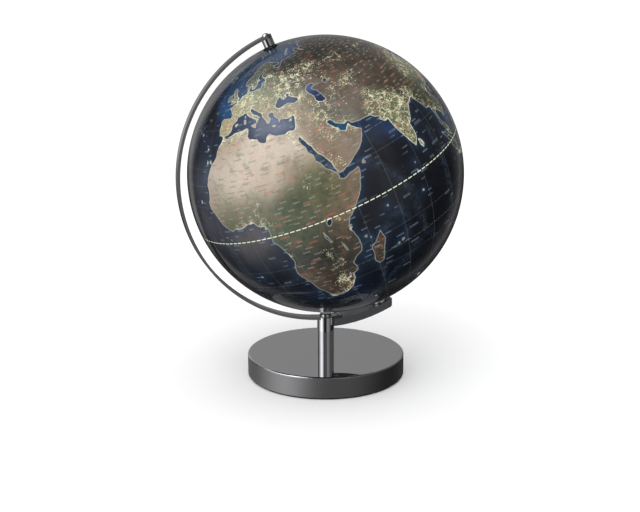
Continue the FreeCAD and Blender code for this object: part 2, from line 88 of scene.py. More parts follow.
LAND = {
    "africa": """-5.9 35.8, -2.9 35.3, -1 35.8, 1.5 36.5, 5 36.8, 7.8 36.9, 9.8 37.3, 11 37, 10.6 35.8,
        10.1 34.3, 11.2 33.2, 13.3 32.9, 15.3 32.3, 15.7 31.4, 18 30.5, 19.6 30.4, 20.1 31.9, 21.7 32.9,
        23.2 32.3, 25 31.6, 27.5 31.2, 29 30.9, 30.5 31.5, 31.9 31.5, 32.5 31.1, 32.4 29.9, 32.7 28.9,
        33.6 27.8, 34.2 26.2, 35.5 24, 35.7 22.5, 37.2 21, 37.3 19, 38.4 18, 39.6 15.5, 41.2 14.5, 42.7 13,
        43.2 11.9, 42.8 10.9, 44.5 10.4, 47.5 11.2, 51.2 11.9, 51.1 10.4, 49.8 8, 48 4.5, 45.5 2, 43 -.5,
        41.5 -1.8, 40.2 -2.6, 39.4 -4.6, 38.8 -6.2, 39.6 -7.8, 40.4 -10.4, 40.6 -14.5, 39.8 -16.4, 37 -17.9,
        34.9 -19.9, 35.5 -22.1, 35.5 -24, 32.9 -25.3, 32.7 -27.5, 31.5 -29.4, 30.2 -31.3, 27.9 -33.1,
        25.7 -34, 22.2 -34.1, 20 -34.8, 18.4 -34.2, 18.2 -32, 17.2 -29.8, 15.6 -27.5, 14.9 -25, 14.4 -22.5,
        12.6 -19, 11.8 -16.5, 12.5 -13.8, 13.7 -11.5, 13.2 -8.8, 12.2 -6, 11.2 -4, 9.3 -2, 9.6 .8, 9.7 3.2,
        8.8 4.5, 7 4.4, 5.6 4.9, 4.4 6.3, 1.5 6.2, -.8 5.3, -2.9 5, -5 5.1, -7.6 4.4, -9.8 5.7, -11.5 6.9,
        -13.2 8.7, -13.8 9.9, -15.3 11.3, -16.8 12.8, -17.4 14.7, -16.4 16.3, -16.2 18.8, -17 21, -16 23.8,
        -14.5 26.2, -12.9 27.8, -11 28.8, -9.8 30, -9.6 31.4, -8.4 33.3, -6.8 34.2""",
    "eurasia": """-5.6 36, -6.4 36.8, -8.9 37, -8.8 38.5, -9.4 38.8, -8.8 41, -9.2 43.1, -7.7 43.8,
        -3.8 43.5, -1.6 43.4, -1.2 45.5, -2.5 47.3, -4.7 48.2, -3 48.8, -1.6 48.7, -1.8 49.7, .2 49.6,
        1.6 50.8, 3.5 51.4, 4.7 53, 7 53.5, 8.6 53.9, 8.7 55.4, 8.2 57, 10.5 57.7, 10.3 56.3, 9.6 55.2,
        10.9 54.2, 12.5 54.4, 14.2 53.9, 16.5 54.5, 18.6 54.7, 19.8 54.4, 21.1 55.8, 21.2 57.3, 22.6 57.7,
        24.2 57.1, 24.4 58.4, 23.5 59.2, 27.5 59.5, 30.2 59.9, 28.5 60.6, 25 60.2, 22.9 59.9, 21.3 61,
        21.5 62.8, 24.5 64.8, 25.2 65.5, 22.2 65.7, 21.3 64.5, 17.8 62.6, 17.2 60.8, 18.9 59.9, 16.8 58.6,
        16.4 56.8, 14.4 55.5, 12.9 55.6, 12 57.5, 11.2 59, 10.4 59.3, 8 58.1, 5.6 58.8, 5 61, 6.5 62.6,
        9.5 63.8, 12.2 65.9, 14.5 68, 18.5 69.8, 23 70.8, 27 71.1, 31 70.3, 33 69.4, 39 68, 41 66.8, 38 66.1,
        33 66.7, 34.8 64.4, 37.5 63.9, 40.3 64.6, 42.2 66.4, 44.5 68, 46.5 68.1, 49.5 68, 54 68.4, 57.5 68.8,
        60.8 69, 65 69.2, 67.5 69, 66.7 71, 69 72.9, 72.8 72.5, 72.5 70, 73.5 68, 74.5 68.2, 74 71.5,
        80 72.3, 82 73.8, 87 75.2, 95 76.1, 104 77.7, 112 76.3, 113.5 73.8, 118 73.2, 127 73.5, 129 71.2,
        133 71.5, 140 72.5, 150 71.5, 160 69.8, 170.5 69.2, 178 69.2, 184 67.4, 190 66.2, 182 65.4, 179 62.5,
        170.5 60, 163 58, 162 55.5, 160 53, 156.7 51.2, 155.7 55.5, 157.5 58, 162.5 60.8, 160 61.7, 155 59.5,
        149 59.5, 142.5 59.3, 137 55, 137.5 54, 141 53, 140.3 50, 140.3 47.5, 137.5 45.5, 135 43.6, 132 43.1,
        130.5 42.4, 128 40, 127.5 39.5, 129.4 37, 129.2 35.3, 126.5 34.4, 126.5 36.8, 125 38, 124.5 39.8,
        121.5 39, 121.8 40.8, 119 39.2, 117.8 38.8, 119 37.3, 122.4 37.2, 119.3 35, 120.8 33, 121.8 31.5,
        120.5 30.3, 122 29.5, 120 26.5, 117.5 23.8, 114.2 22.3, 111 21.4, 110.2 20.3, 109.6 21.5, 108 21.5,
        106 19.5, 107.5 16.5, 109.2 13.5, 109.2 11.7, 106.8 10.4, 105 8.7, 104.8 10.3, 102.8 11.8,
        100.9 13.4, 99.9 12.5, 99.2 10, 100.4 7.5, 103 5.3, 103.5 2.6, 104.2 1.3, 101.4 2.8, 100.3 5.5,
        98.3 8, 98.7 10.5, 97.7 15.5, 95.3 15.8, 94.3 17.5, 92.3 20.8, 91.5 22.6, 89 21.8, 87 21.3, 85 19.5,
        82.3 16.6, 80.2 15.5, 80.3 13.2, 79.8 10.4, 78.2 8.9, 77.5 8.1, 76.3 10, 74.8 13, 73.3 17, 72.8 19.5,
        72.7 21.3, 70.8 20.8, 69 22.3, 70.3 22.9, 68 23.8, 66.7 25.2, 61.6 25.2, 57.3 25.7, 56.8 27.1,
        54.5 26.6, 51.3 28, 50.2 30, 48.6 30, 48 29.4, 49.3 27.4, 50.2 26.5, 50.8 24.8, 51.3 26.1, 51.6 24.8,
        54 24.2, 56 26.1, 56.5 24.5, 59.8 22.5, 58.5 20.4, 57 18.8, 55 17.2, 52.2 15.8, 48.7 14, 45 12.8,
        43.5 12.7, 42.8 15, 42.5 16.8, 40.8 19.5, 39.1 21.3, 38 23.8, 35.2 28, 34.9 29.4, 34.2 27.9,
        32.9 29.4, 32.6 30, 32.6 31.1, 34.2 31.3, 35 32.8, 35.8 35, 36.1 36.6, 33.8 36.2, 32 36.2, 30.5 36.6,
        28.3 36.6, 26.5 38.3, 26.2 40, 26 40.7, 24 40.8, 23 40.3, 22.8 39.4, 24 38, 23 36.6, 21.7 36.8,
        21.2 38.3, 20 39.8, 19.4 41.8, 17.5 42.9, 15 44.5, 13.6 45.5, 12.3 45.3, 12.5 44, 14.2 42.4,
        16.1 41.7, 18.4 40.1, 16.9 40.5, 17.1 39, 16 37.9, 15.8 39.8, 14 40.8, 12.2 41.8, 10.5 42.9, 10.2 44,
        8.8 44.4, 7.4 43.7, 4.9 43.4, 3.1 43.1, 3.2 41.9, .5 40.6, -.3 39.3, .1 38.7, -.8 37.6, -2.2 36.7,
        -4.5 36.7""",
    "north_america": """-168 65.6, -163.5 66.8, -166.2 68.4, -163 69.6, -156.6 71.3, -150 70.5, -141 69.7,
        -135 69.2, -128 70.3, -123 69.6, -115 68.2, -108.5 67.8, -102 67.8, -96 68, -94 71.9, -90 69.5,
        -88 68, -86 67.8, -82 69.7, -81.5 67.5, -86.5 66.4, -87 64.5, -93 62.5, -94.7 59.5, -92.5 57,
        -88 56.6, -82.4 55.2, -82.2 53, -80 51.3, -78.8 52.5, -79.5 54.7, -76.8 57, -78.2 59, -77.5 62.3,
        -73.5 62.4, -70 61, -69.5 59, -66 58.8, -64.5 60.3, -61.5 57.2, -57.5 54.6, -55.8 52.2, -60 50.2,
        -66.5 50.2, -70.5 47.2, -65 49.2, -64.8 47.3, -61.5 45.8, -61 45.3, -65.8 43.6, -66.5 45.2, -70 43.7,
        -70.7 42, -70 41.6, -74 40.6, -75.5 39, -76 37, -75.6 35.3, -78 33.9, -81 31.8, -81.4 30, -80.1 26.8,
        -80.5 25.2, -81.8 26.2, -82.8 28, -84 30, -86.5 30.4, -89.5 30.2, -90.5 29.2, -94 29.5, -97 27.8,
        -97.4 25.5, -97.8 22.4, -96 19.2, -94.4 18.2, -91.5 18.5, -90.4 21, -87 21.5, -87.6 19, -88.3 17.2,
        -88.6 15.8, -85.8 15.9, -83.3 15, -83.7 11.5, -82.2 9.1, -79.8 9.5, -77.4 8.6, -77.9 7.3, -79.7 8.9,
        -80.3 7.4, -82.9 8.1, -83.7 8.5, -85.8 10.1, -87.6 12.9, -91.5 14, -94.5 16.1, -97.5 15.9,
        -101.8 17.8, -105.5 20, -105.6 22.3, -109 25.6, -112.5 29.3, -114.7 31.7, -114.6 30.5, -111.5 26,
        -109.5 23, -110.4 23.5, -112.2 26, -115.5 29.5, -117.2 32.7, -120.6 34.5, -122.4 37.2, -124.2 40.4,
        -124 44, -124.6 48.3, -122.5 48, -125 50.2, -128 52, -130.3 54.8, -133.5 57.5, -137 58.8, -144 60,
        -148.5 60.2, -151.5 59.3, -154 58.3, -158 56.5, -163.5 55, -158.5 58.5, -162 58.8, -165 60.5,
        -164.5 63, -161 64.4, -166 64.5""",
    "south_america": """-77.4 8.6, -75.5 10.8, -72 12.2, -71.5 11, -68 11.8, -64.5 10.2, -61.8 10.7, -60 8.5,
        -57 6, -53 5.5, -51 4, -50 .5, -48.5 -.8, -44 -2.6, -39.5 -2.9, -35.3 -5.2, -34.8 -8, -37 -11,
        -39 -13.5, -39 -17.5, -41 -22, -44.5 -23.1, -48.5 -26, -49 -28.7, -52 -32.8, -54 -34.8, -57.5 -34.4,
        -57 -36.5, -58 -38.3, -62 -39, -62.3 -41, -65 -41, -64.3 -42.8, -67.3 -45.6, -66 -48, -69 -50.7,
        -68.5 -52.6, -65.5 -54.8, -69 -55.3, -72.5 -53.5, -75 -50.5, -75.5 -47, -73.5 -44, -73.8 -40,
        -73 -37, -71.6 -33, -71.5 -29, -70.4 -24, -70.3 -18.4, -74 -15.9, -76.3 -13.8, -79.5 -8, -81.3 -5,
        -80 -3, -80.9 -1, -80 .8, -77.5 3.5, -77.4 6.5, -77.9 7.3""",
    "australia": """113.7 -22.5, 114.2 -26.3, 115.7 -31.8, 115 -34.2, 118 -35, 123.5 -33.9, 129 -31.7,
        133.5 -32.2, 135.7 -34.8, 137.8 -32.8, 138.3 -35.6, 140.5 -38, 144 -38.3, 146.3 -39, 149.9 -37.4,
        151.4 -33.5, 153.2 -30, 153.3 -26.5, 150.8 -23.5, 149 -20.5, 146.3 -18.9, 145.3 -15, 143.5 -14.2,
        142.5 -10.8, 141.6 -13, 140.8 -17.4, 139 -17.4, 135.5 -15, 136.8 -12.2, 132.7 -11.4, 130.2 -13,
        129.3 -14.9, 126 -14, 122.3 -17.3, 121.5 -19, 117 -20.7""",
    "antarctica": """-180 -78.5, -165 -78.5, -150 -77, -135 -74.5, -115 -73.8, -100 -73.5, -85 -73.3,
        -75 -71, -68 -68, -62 -65, -57.5 -63.3, -59 -65, -62 -69, -62 -74, -75 -77, -60 -77.5, -40 -78,
        -28 -76.5, -18 -72.8, 0 -69.8, 15 -69.5, 35 -69, 45 -67.8, 55 -66, 68 -68, 72 -70, 78 -68.5,
        90 -66.8, 110 -66.3, 130 -66.2, 145 -67, 160 -70, 170 -72, 168 -77, 180 -78.5, 180 -90, -180 -90""",
    "greenland": """-73 78.2, -66 80.8, -55 82.2, -40 83.2, -30 83.6, -22 82.5, -17 80, -20 76.5, -19.5 74,
        -22 72, -24 70.5, -30 68.3, -37 66, -41 64, -43 60, -48 61, -51.5 64, -54 67, -51 69.5, -54.5 71,
        -58 75, -66 76, -70 77""",
    "iceland": "-24 65.6, -22 66.4, -18 66.1, -14.6 66.3, -13.7 65, -18.5 63.4, -22.7 63.9, -22 64.6",
    "great_britain": """-5.6 50.1, -3.4 50.5, 1.3 51.2, .6 51.6, 1.7 52.7, .3 53.2, -1.3 54.8, -2 56,
        -2 57.6, -4 57.8, -3.1 58.6, -5 58.5, -6.2 56.8, -4.8 55, -3 54, -4.5 53.3, -4.5 52.3, -5.2 51.8,
        -3.2 51.4, -4.5 51.1""",
    "ireland": "-6 52.2, -6 53.8, -5.7 54.7, -7.4 55.3, -8.5 54.5, -10 54.1, -9.2 53, -10.2 51.8, -8 51.8",
    "madagascar": """49.3 -12, 50.4 -15.7, 49.5 -18, 47.2 -24.8, 45.2 -25.5, 43.6 -23.5, 44.3 -20, 44 -17,
        46 -15.8, 48 -13.6""",
    "sri_lanka": "80 9.7, 81.3 8.5, 81.8 7, 80.6 6, 79.8 7.3",
    "honshu": """131 34.3, 133 35.5, 136 35.8, 137 37.3, 139.3 38.2, 140 40, 141.3 41.4, 142 39.6, 141 38.2,
        140.8 35.8, 138.8 34.8, 136.8 34.4, 135.5 33.6, 133.5 34.4""",
    "kyushu": "130 33.5, 131.7 33.6, 131.4 31.4, 130.3 31.3, 129.8 32.8",
    "hokkaido": "140 42, 140.5 43.3, 141.8 45.4, 145.2 43.6, 143.2 42.1, 141 42.4",
    "sakhalin": "142 46.2, 143.5 49.5, 143 54.2, 142.2 53, 142 50",
    "taiwan": "121 25.2, 121.8 25, 120.8 22, 120.1 23.2",
    "hainan": "108.7 19.3, 110.8 20, 110.3 18.4, 109 18.4",
    "luzon": "120.5 18.5, 122.2 18.3, 121.5 15.8, 124 13, 120.8 13.8, 120.1 15.8",
    "mindanao": "122 7, 123.5 8.5, 125.5 9.8, 126.4 7.5, 125.5 5.8, 124 6.8",
    "borneo": """109 1.5, 110 1.6, 113 3.5, 116.5 6.9, 119 5.2, 117.8 3.5, 117.8 .8, 116.3 -2.5, 114.6 -4.1,
        111 -3.2, 109.8 -1, 109 .5""",
    "sumatra": "95.3 5.5, 98 4.4, 101 2, 103.7 -.8, 106 -3, 105.7 -5.8, 103 -4.4, 100.5 -1.5, 98.7 1.7",
    "java": "105.3 -6.6, 108.5 -6.6, 111 -6.4, 114.4 -7.8, 114.3 -8.6, 110 -8.1, 106.5 -7.4",
    "sulawesi": """119 -3.3, 119.8 0, 121 1.2, 125 1.5, 121 .5, 120.3 -1, 123.2 -.9, 121.8 -2, 123 -4.5,
        121 -2.9, 120.4 -5.5, 119.5 -5.5""",
    "new_guinea": """131 -.9, 134 -.8, 135 -3.2, 138 -1.6, 141 -2.6, 145.5 -4.8, 147.8 -6.2, 150.5 -10.5,
        147 -9.5, 144 -7.6, 141 -9.2, 138 -8.2, 137.8 -5.2, 133 -4, 132.5 -2.6""",
    "tasmania": "144.8 -40.8, 148.2 -40.9, 147.8 -43.2, 146 -43.5",
    "north_zealand": """172.8 -34.5, 175.5 -36.8, 178.4 -37.8, 176.9 -39.6, 175.2 -41.6, 173.8 -39.3,
        174.7 -37.5""",
    "south_zealand": """172.7 -40.6, 174.2 -41.7, 172.8 -43.8, 170.7 -45.9, 168.5 -46.6, 166.5 -45.9,
        170 -43.2""",
    "cuba": "-84.9 21.9, -82 23.2, -77 21.8, -74.2 20.2, -77.7 19.9, -79 21.3",
    "hispaniola": "-74.4 18.6, -73 19.9, -69.9 19.8, -68.5 18.5, -71.5 17.8",
    "newfoundland": "-59.3 47.8, -57 51, -55.5 51.5, -53 47, -55.8 46.9",
    "baffin": """-61.5 66.6, -67.5 69.5, -74 71.5, -80 73.7, -89 73.5, -85 70, -78 69.8, -73 68.3, -73 65.5,
        -68 62.4, -65 62, -67.5 64""",
    "victoria_land": "-117 70.5, -117 73, -108 73, -105 71, -102 69, -108 68.7, -114 69",
    "banks": "-125 72, -120 74.3, -116 73, -123 71.2",
    "ellesmere": "-90 77, -87 80.5, -80 82.5, -65 83, -62 82.4, -75 79, -79 76.2",
    "devon": "-92 75, -80 75.7, -80 74.7, -91 74.6",
    "svalbard": "11 79, 18 80, 27 80, 21 78.5, 16.5 76.7",
    "novaya_zemlya": "52 71, 56 74, 68 76.9, 66 76.2, 57.5 73.5, 56 71",
    "sicily": "12.5 37.9, 15.6 38.3, 15.1 36.7",
    "sardinia": "8.3 41, 9.6 41, 9.5 39.2, 8.5 39",
    "corsica": "8.7 42.5, 9.4 43, 9.3 41.5",
    "crete": "23.6 35.5, 26.2 35.2, 24.8 34.9",
    "cyprus": "32.4 35, 34.4 35.6, 33.6 34.7",
    "vancouver": "-128 50.8, -124 49, -123.5 48.3, -126.5 49.6",
}

LAKES = {
    "black_sea": """29 41.2, 31.5 41.3, 35 42.1, 38 41, 41.5 41.6, 41 43, 38.5 44.4, 36.8 45.2, 39.2 47.1,
        37.5 46.7, 35 46.2, 36 45.3, 33.8 44.4, 32.6 45.4, 33.5 46, 31.5 46.6, 29.7 45.2, 28.6 43.7,
        27.7 42.5""",
    "caspian": """49 46.3, 51.5 46.9, 53 46.5, 53 45.2, 51 44.5, 50.3 44.3, 51.3 43, 52.6 42.6, 52.8 41.2,
        53.6 39.5, 53.9 37, 51.5 36.7, 49.5 37.5, 48.9 38.5, 49.5 40.5, 48 42.3, 47.4 43.5, 47 44.8""",
    "victoria": "31.8 -1, 33 .3, 34.2 0, 34 -1.2, 33 -2.5, 31.9 -2.3",
    "tanganyika": "29.3 -3.5, 29.8 -5.5, 31 -8.6, 30.5 -8.7, 29.3 -6, 29.1 -4",
    "malawi": "34 -9.6, 34.9 -12, 35.2 -14.3, 34.6 -13.8, 34.2 -11.5, 33.9 -10",
    "baikal": "103.8 51.6, 106 52.5, 109.7 55.7, 109.2 55.8, 107 53.3, 104.5 52",
    "aral": "58.5 45.5, 60.5 46.5, 61.5 45, 60 43.8, 58.7 44",
    "superior": "-92 46.8, -89 48, -86 48.7, -84.8 46.8, -87.5 46.6, -90.5 46.8",
    "michigan": "-87.8 42, -86.3 42, -85.2 45, -87 45.8, -87.8 43.5",
    "huron": "-84.5 46, -81 45.8, -81.7 43.3, -82.5 43.2, -83.4 45.2",
    "erie": "-83.2 41.7, -80 42.6, -78.9 42.8, -81.5 41.6",
    "ontario": "-79.7 43.3, -76.3 44, -76.3 43.5, -79 43.3",
}

# Small islands: longitude, latitude and radius, all in degrees.
ISLETS = """
    55.5 -21.1 .5, 57.6 -20.3 .5, 43.4 -11.7 .5, 45.2 -12.8 .4, 55.5 -4.6 .4, 53.9 12.5 .6, 73.3 3.5 .3,
    73 .5 .3, 72.4 -7 .4, -16.6 28.3 .6, -14.2 28.5 .6, -23.6 15.1 .5, -25.5 37.8 .4, -28.6 38.6 .4,
    -17 32.7 .4, -5.7 -16 .3, 6.6 .2 .3, 8.7 3.5 .3, 2.9 39.6 .5, 3.9 40 .3, 28 36.2 .3, 39.4 -6.1 .4,
    39.8 -5.1 .3, 50.5 26 .3, -155.5 19.6 .8, -157.9 21.4 .5, 178 -17.8 .8, 165.5 -21.5 1.2,
    -58.8 -51.8 1.2, -77.3 18.1 .9, -66.4 18.2 .8, -61.3 16.2 .3, -61.4 10.4 .5, -109.3 -27.1 .3,
    -91.1 -.6 .9, 70.2 -49.3 1, 37.8 -46.9 .4, -36.6 -54.4 .9, -10.2 1.3 .2, 145 13.4 .3, 127.9 26.4 .4,
    123.7 10.5 1, 118.5 9.8 .8, 119.8 -9.8 .8, 124.5 -9.4 1.1, 128 -3.3 .9, 128 1 .9, 115.1 -8.4 .6,
    117.5 -8.6 .8, 147.5 44 .5, 98 79 1.6"""

# Land tints: longitude, latitude and reach in degrees, then red, green and blue in hundredths.
LAND_TINTS = """
    -6 23 8 72 68 63, 6 25 9 76 71 65, 20 26 7 76 71 65, 29 25 6 74 70 64, 16 19 6 68 62 55,
    26 19.5 3 54 46 40, 32 13.5 4 34 36 27, 31 19 3.5 50 46 38, -12 17 5 60 55 49, 2 34 4 60 55 47,
    -7 31 4 62 56 48, -6 9 6 38 38 31, 8 9 6 37 37 30, 22 9 5.5 32 34 27, 20 5 5 29 33 26, 22 -2 6 33 35 29,
    12 2 4 30 34 27, 37 8 5 36 36 27, 46 6 5 42 37 31, 38 1 4 42 36 29, 34 -6 5 28 26 22, 17 -11 6 25 26 24,
    28 -13 6 19 20 18, 26 -6 4 27 27 23, 15 -22 4 34 30 26, 23 -23 5 25 21 18, 24 -30 5 25 21 18,
    37 -14 4 22 21 18, 47 -19 4 25 22 19, 45 25 6 50 44 38, 50 20 5 50 45 40, 45 15 3 50 42 35,
    38 33 4 58 53 47, 35 39 5 56 52 45, 55 33 6 41 40 37, 45 42 3 50 47 40, 66 34 5 41 37 33,
    63 40 6 40 36 32, 75 26 5 40 40 31, 79 18 5 36 37 28, 81 25 4 38 39 30, 88 33 7 25 22 18,
    82 39 5 30 27 24, 96 38 6 26 23 20, 68 48 9 34 29 25, 90 47 6 29 25 22, 105 45 7 25 21 19,
    50 51 7 31 28 24, 58 57 6 24 22 20, 45 61 8 13 14 12.5, 70 63 10 14 14 13, 100 62 14 13 13 12,
    130 60 12 13 13 12, 160 63 10 22 22 21, 34 55 6 36 39 31, 30 49 5 44 45 37, 20 51 5 50 51 42,
    10 49 5 56 56 46, 2 46 4 58 56 45, -4 40 5 60 55 43, 14 42 3 56 52 42, 21 43 4 54 50 41,
    -2 54 4 44 46 36, 16 62 6 34 36 31, 26 64 4 28 31 26, 112 33 7 42 42 32, 118 43 6 34 33 26,
    108 25 5 30 32 24, 98 22 5 22 23 18, 104 15 5 24 25 19, 113 0 9 14 18 13, 140 38 6 34 36 27,
    141 -6 8 16 20 14, 127 -24 10 52 34 24, 140 -26 8 46 33 24, 149 -31 6 30 30 21, 133 -14 5 34 30 21,
    117 -32 4 36 32 23, 172 -42 5 28 31 23, -112 38 8 46 39 31, -100 42 7 42 39 28, -85 38 8 28 31 22,
    -120 48 6 26 29 22, -100 57 11 22 25 20, -75 53 9 21 24 20, -150 64 9 32 33 30, -100 72 9 52 53 54,
    -104 26 7 46 39 29, -90 16 6 24 27 18, -62 -4 11 14 20 12, -46 -12 8 30 29 20, -56 -22 7 27 28 19,
    -63 -33 7 35 33 24, -69 -22 4 48 40 32, -76 -10 4 40 35 27, -69 -44 6 38 33 27, -42 73 12 20 22 26,
    0 -84 22 76 79 83, 90 -80 16 74 78 83, -19 65 3 26 27 29, 60 75 5 24 25 26, 18 79 5 30 31 33"""

# Sea tints on the deep blue-black: longitude, latitude and reach in degrees, then strength, red, green and
# blue in hundredths. The pale grey patches in the Gulf of Guinea, in the Atlantic off West Africa and in the
# Mediterranean are partly the print's colour and partly painted sheen, the varnish's reflection put into the
# tint.
SEA_TINTS_AND_SHEEN = """
    2 58 5 100 22 36 52, 3 54 3 90 22 38 54, -6 47 4 90 16 34 52, -11 54 5 80 12 28 48, -3 68 8 80 20 28 38,
    -15 60 8 70 12 22 38, 20 57 4 80 22 40 56, 22 64 3 60 24 38 50, 35 73 9 80 22 32 46,
    -5 44.5 3 80 10 34 55, -9 50 4 80 12 34 56, 35 43.4 5 100 34 42 54, 51 41.5 4.5 100 22 24 44,
    50 45 2.5 100 16 36 56, 5 40 4 90 28 32 44, 11 40 3 90 24 27 38, 18 35.5 5 100 46 49 57,
    27 34 4 100 45 47 56, 33 33.5 3 100 42 46 54, 15.5 43 2.5 80 24 28 50, 25 38.5 2.5 90 34 42 56,
    36 25 2 100 30 42 50, 38.5 20.5 2.2 100 34 42 46, 41.5 15.5 2 100 38 42 44, 51 27.3 3 100 12 38 52,
    54 25.3 2 100 14 42 54, 58 24.5 3 80 14 22 38, 47 12 4 70 20 26 36, 66 21 5 60 16 24 38,
    71 17 3 70 14 22 40, 60 16 7 50 22 22 25, 88 16 6 35 13 17 24, -20 22 12 80 30 32 36,
    -16 36 8 60 12 15 22, -17 24 3 80 32 40 50, -4 0 9 90 40 38 38, 5 2 5 90 44 41 41, -22 8 10 70 34 34 37,
    -6 -16 11 60 16 19 25, 8 -12 5 60 14 20 28, 12 -32 6 60 8 16 27, 34 -36 7 50 5 12 22,
    41 -20 3 80 14 20 28, 42 -13 3 60 14 22 30, 58 -12 6 50 10 17 26, 60 -3 9 35 18 19 21,
    60 3 8 30 18 19 20, 53 -34 8 40 5 11 19, 118 30 5 60 12 26 42, 112 5 8 50 10 22 34, 106 8 5 60 12 30 42,
    98 12 3 60 10 22 34, 130 -10 7 70 12 32 46, 150 -20 5 60 12 34 48, 145 58 8 40 12 22 34,
    190 60 9 50 12 24 38, -78 24 4 80 16 44 56, -86 26 6 40 10 22 34, -60 45 6 50 12 26 40,
    -64 -46 8 60 12 28 42, -40 -58 9 30 10 18 30, -85 60 6 60 14 28 40, 0 -66 14 40 12 20 32,
    150 -66 14 40 12 20 32, 70 74 9 60 18 30 44, 140 76 12 50 14 26 40"""

# Settled land that the night lights pick out: longitude, latitude and reach in degrees, then the share of lit
# cells in hundredths.
CITY_FIELDS = """
    -1.5 52.8 2.2 75, -4 56 1 50, 4.5 51.5 2.5 80, 8 50 3 70, 12 51 3 60, 11 45.3 2.6 75, 13 42 2 50,
    15 40.8 1.5 55, -3.7 40.4 1.5 50, -1 39 1.6 60, 2 41.6 1.6 70, -8.7 40 1.4 65, -5.5 37 2 50,
    2.3 48.8 2 60, 0 45 4 35, 5 44.5 2 50, 18 50 3 60, 20 47 3 45, 26 45 3 40, 22 41 2.5 50, 31 50 4 50,
    37 48.5 4 55, 37.6 55.7 3 75, 40 54 5 55, 44 56 4 45, 49 54 4 50, 45 50 3 35, 56 55 4 45,
    60.5 56.5 3 55, 30 59.8 2 50, 25 60.5 2 40, 18 59.3 2 40, 11 60 2 35, 12.5 56.5 2 50, 24 56 3 35,
    29 41 1.6 80, 33 39 3 40, 36 37 2.4 55, 44 41.5 3 50, 40 44.5 3 45, 31 30.6 1.5 95, 31.6 27.5 1 70,
    35 32 1.4 95, 36.5 34.5 1.6 70, 44.4 33 2 75, 47.8 30.3 1.4 80, 46.7 24.7 1.8 60, 50 26.3 1.4 90,
    55 25 1.6 90, 57.5 23.5 1.2 60, 39.8 21.4 1.2 60, 44.5 15.5 2.5 50, 42 18 2 40, 45 28 4 30,
    51.4 35.6 2.2 65, 50 33 3 40, 58 36.5 2.5 40, 55 29 3 30, 48 38 2.5 50, 60 41 2 40, 68 40 3 65,
    71 41 2 75, 76.5 43.3 2 55, 73 32.6 2 80, 73 30.8 2.2 85, 69 27.5 2.4 60, 67.5 25.2 1.4 70,
    77 28.4 2.4 95, 80.5 26.6 2.6 90, 84.5 25.8 2.2 85, 88.4 23.4 3 85, 72.5 22.8 2.6 85, 75 19.5 3.4 75,
    78.5 17.5 4 75, 77.5 12 3.6 85, 80 14.5 3 80, 76 25 4 60, 82 21.5 3.5 55, 80.6 7.5 1.4 70, 91 24 3 75,
    93 26 2 40, 96.5 18 2.5 30, 101 14.5 3 70, 106 11 2 60, 106 20.8 2 70, 102 3.5 2 60, 107.5 -6.6 2.5 80,
    112 -7.4 2 70, 113.5 23 2.4 85, 117 26 3 50, 120 31 3 85, 116 34 4.5 75, 115 38 4 80, 112 29 4 50,
    104.5 30.5 3 60, 108.5 34.5 3 55, 123 41.5 3 60, 126 45 3 50, 127 37 1.8 85, 121 24 1.4 80,
    121 15 1.6 60, 136.5 35.2 2 85, 139.7 36 1.8 95, 131 33.5 1.4 60, 141 43 1.4 50, 28 -26.2 1.7 100,
    29.5 -26 1.8 75, 27 -26.8 1.8 60, 30.8 -29.6 1.4 90, 29.5 -28.5 2.2 60, 27.5 -32.6 1.6 55,
    25.6 -33.6 1.4 60, 18.8 -33.8 1.1 90, 20.5 -34 1.6 45, 26 -29 2.4 35, 30.5 -24 2.2 50, 31 -18 1.8 55,
    28.6 -20.2 1.4 40, 28 -12.8 1.5 60, 27 -11 1 50, 28.3 -15.4 1 40, 32.6 -25.9 .8 60, 36.8 -1.3 1.2 50,
    32.6 .4 1 50, 38.7 9 1.4 40, 32.6 15.6 1 50, 30.2 12.5 1.4 20, 39.2 -6.6 .9 50, 13.3 -8.9 .9 50,
    15.3 -4.3 1 45, 3.6 6.8 1.4 75, 7.5 5.6 1.8 60, 8 11 2.2 40, 7.4 9 1.4 40, -.4 6 1.4 55, -4 5.8 1.2 50,
    -1.6 12.4 1 25, -17 14.7 1 45, -13.2 9.6 1 30, 11.5 4 1.5 35, 47.5 -18.9 1 35, 3 36.4 1.8 70,
    6.5 36.2 1.6 60, 10 36.4 1.4 70, 0 35.2 1.6 55, -6.8 33.8 1.5 70, -5 34.6 1.6 50, 13.2 32.6 1.2 70,
    20.3 32 1.2 50, 6 31.8 2 25, 15 28 2.4 16, -75 40.6 3.5 95, -81 41.5 4 75, -88 41.5 4 75, -82 34 4 60,
    -81 28 1.8 80, -97 32 3.5 60, -95 40 5 40, -105 40 2 50, -118 34 1.8 95, -121.5 38 1.6 80,
    -122.5 46.5 2 60, -112 33.4 1.4 60, -99.2 19.5 2.2 80, -103 21.5 2.4 50, -90 14.6 2 40, -74 5 2 50,
    -67 10.3 1.6 70, -79 -1 1.6 40, -77 -12 1.2 60, -46.6 -23.3 2.4 90, -43.5 -21.5 2.2 60, -50 -26 3 50,
    -48 -16 2 40, -37 -9 3 40, -58.5 -34.6 1.8 85, -63 -32.5 2.6 40, -70.8 -33.5 1.4 70, 151 -33.7 1.2 80,
    145 -37.7 1.2 80, 153 -27.5 1 70, 138.6 -34.9 .9 60, 115.9 -32 .9 60, 174.8 -37 1 50"""

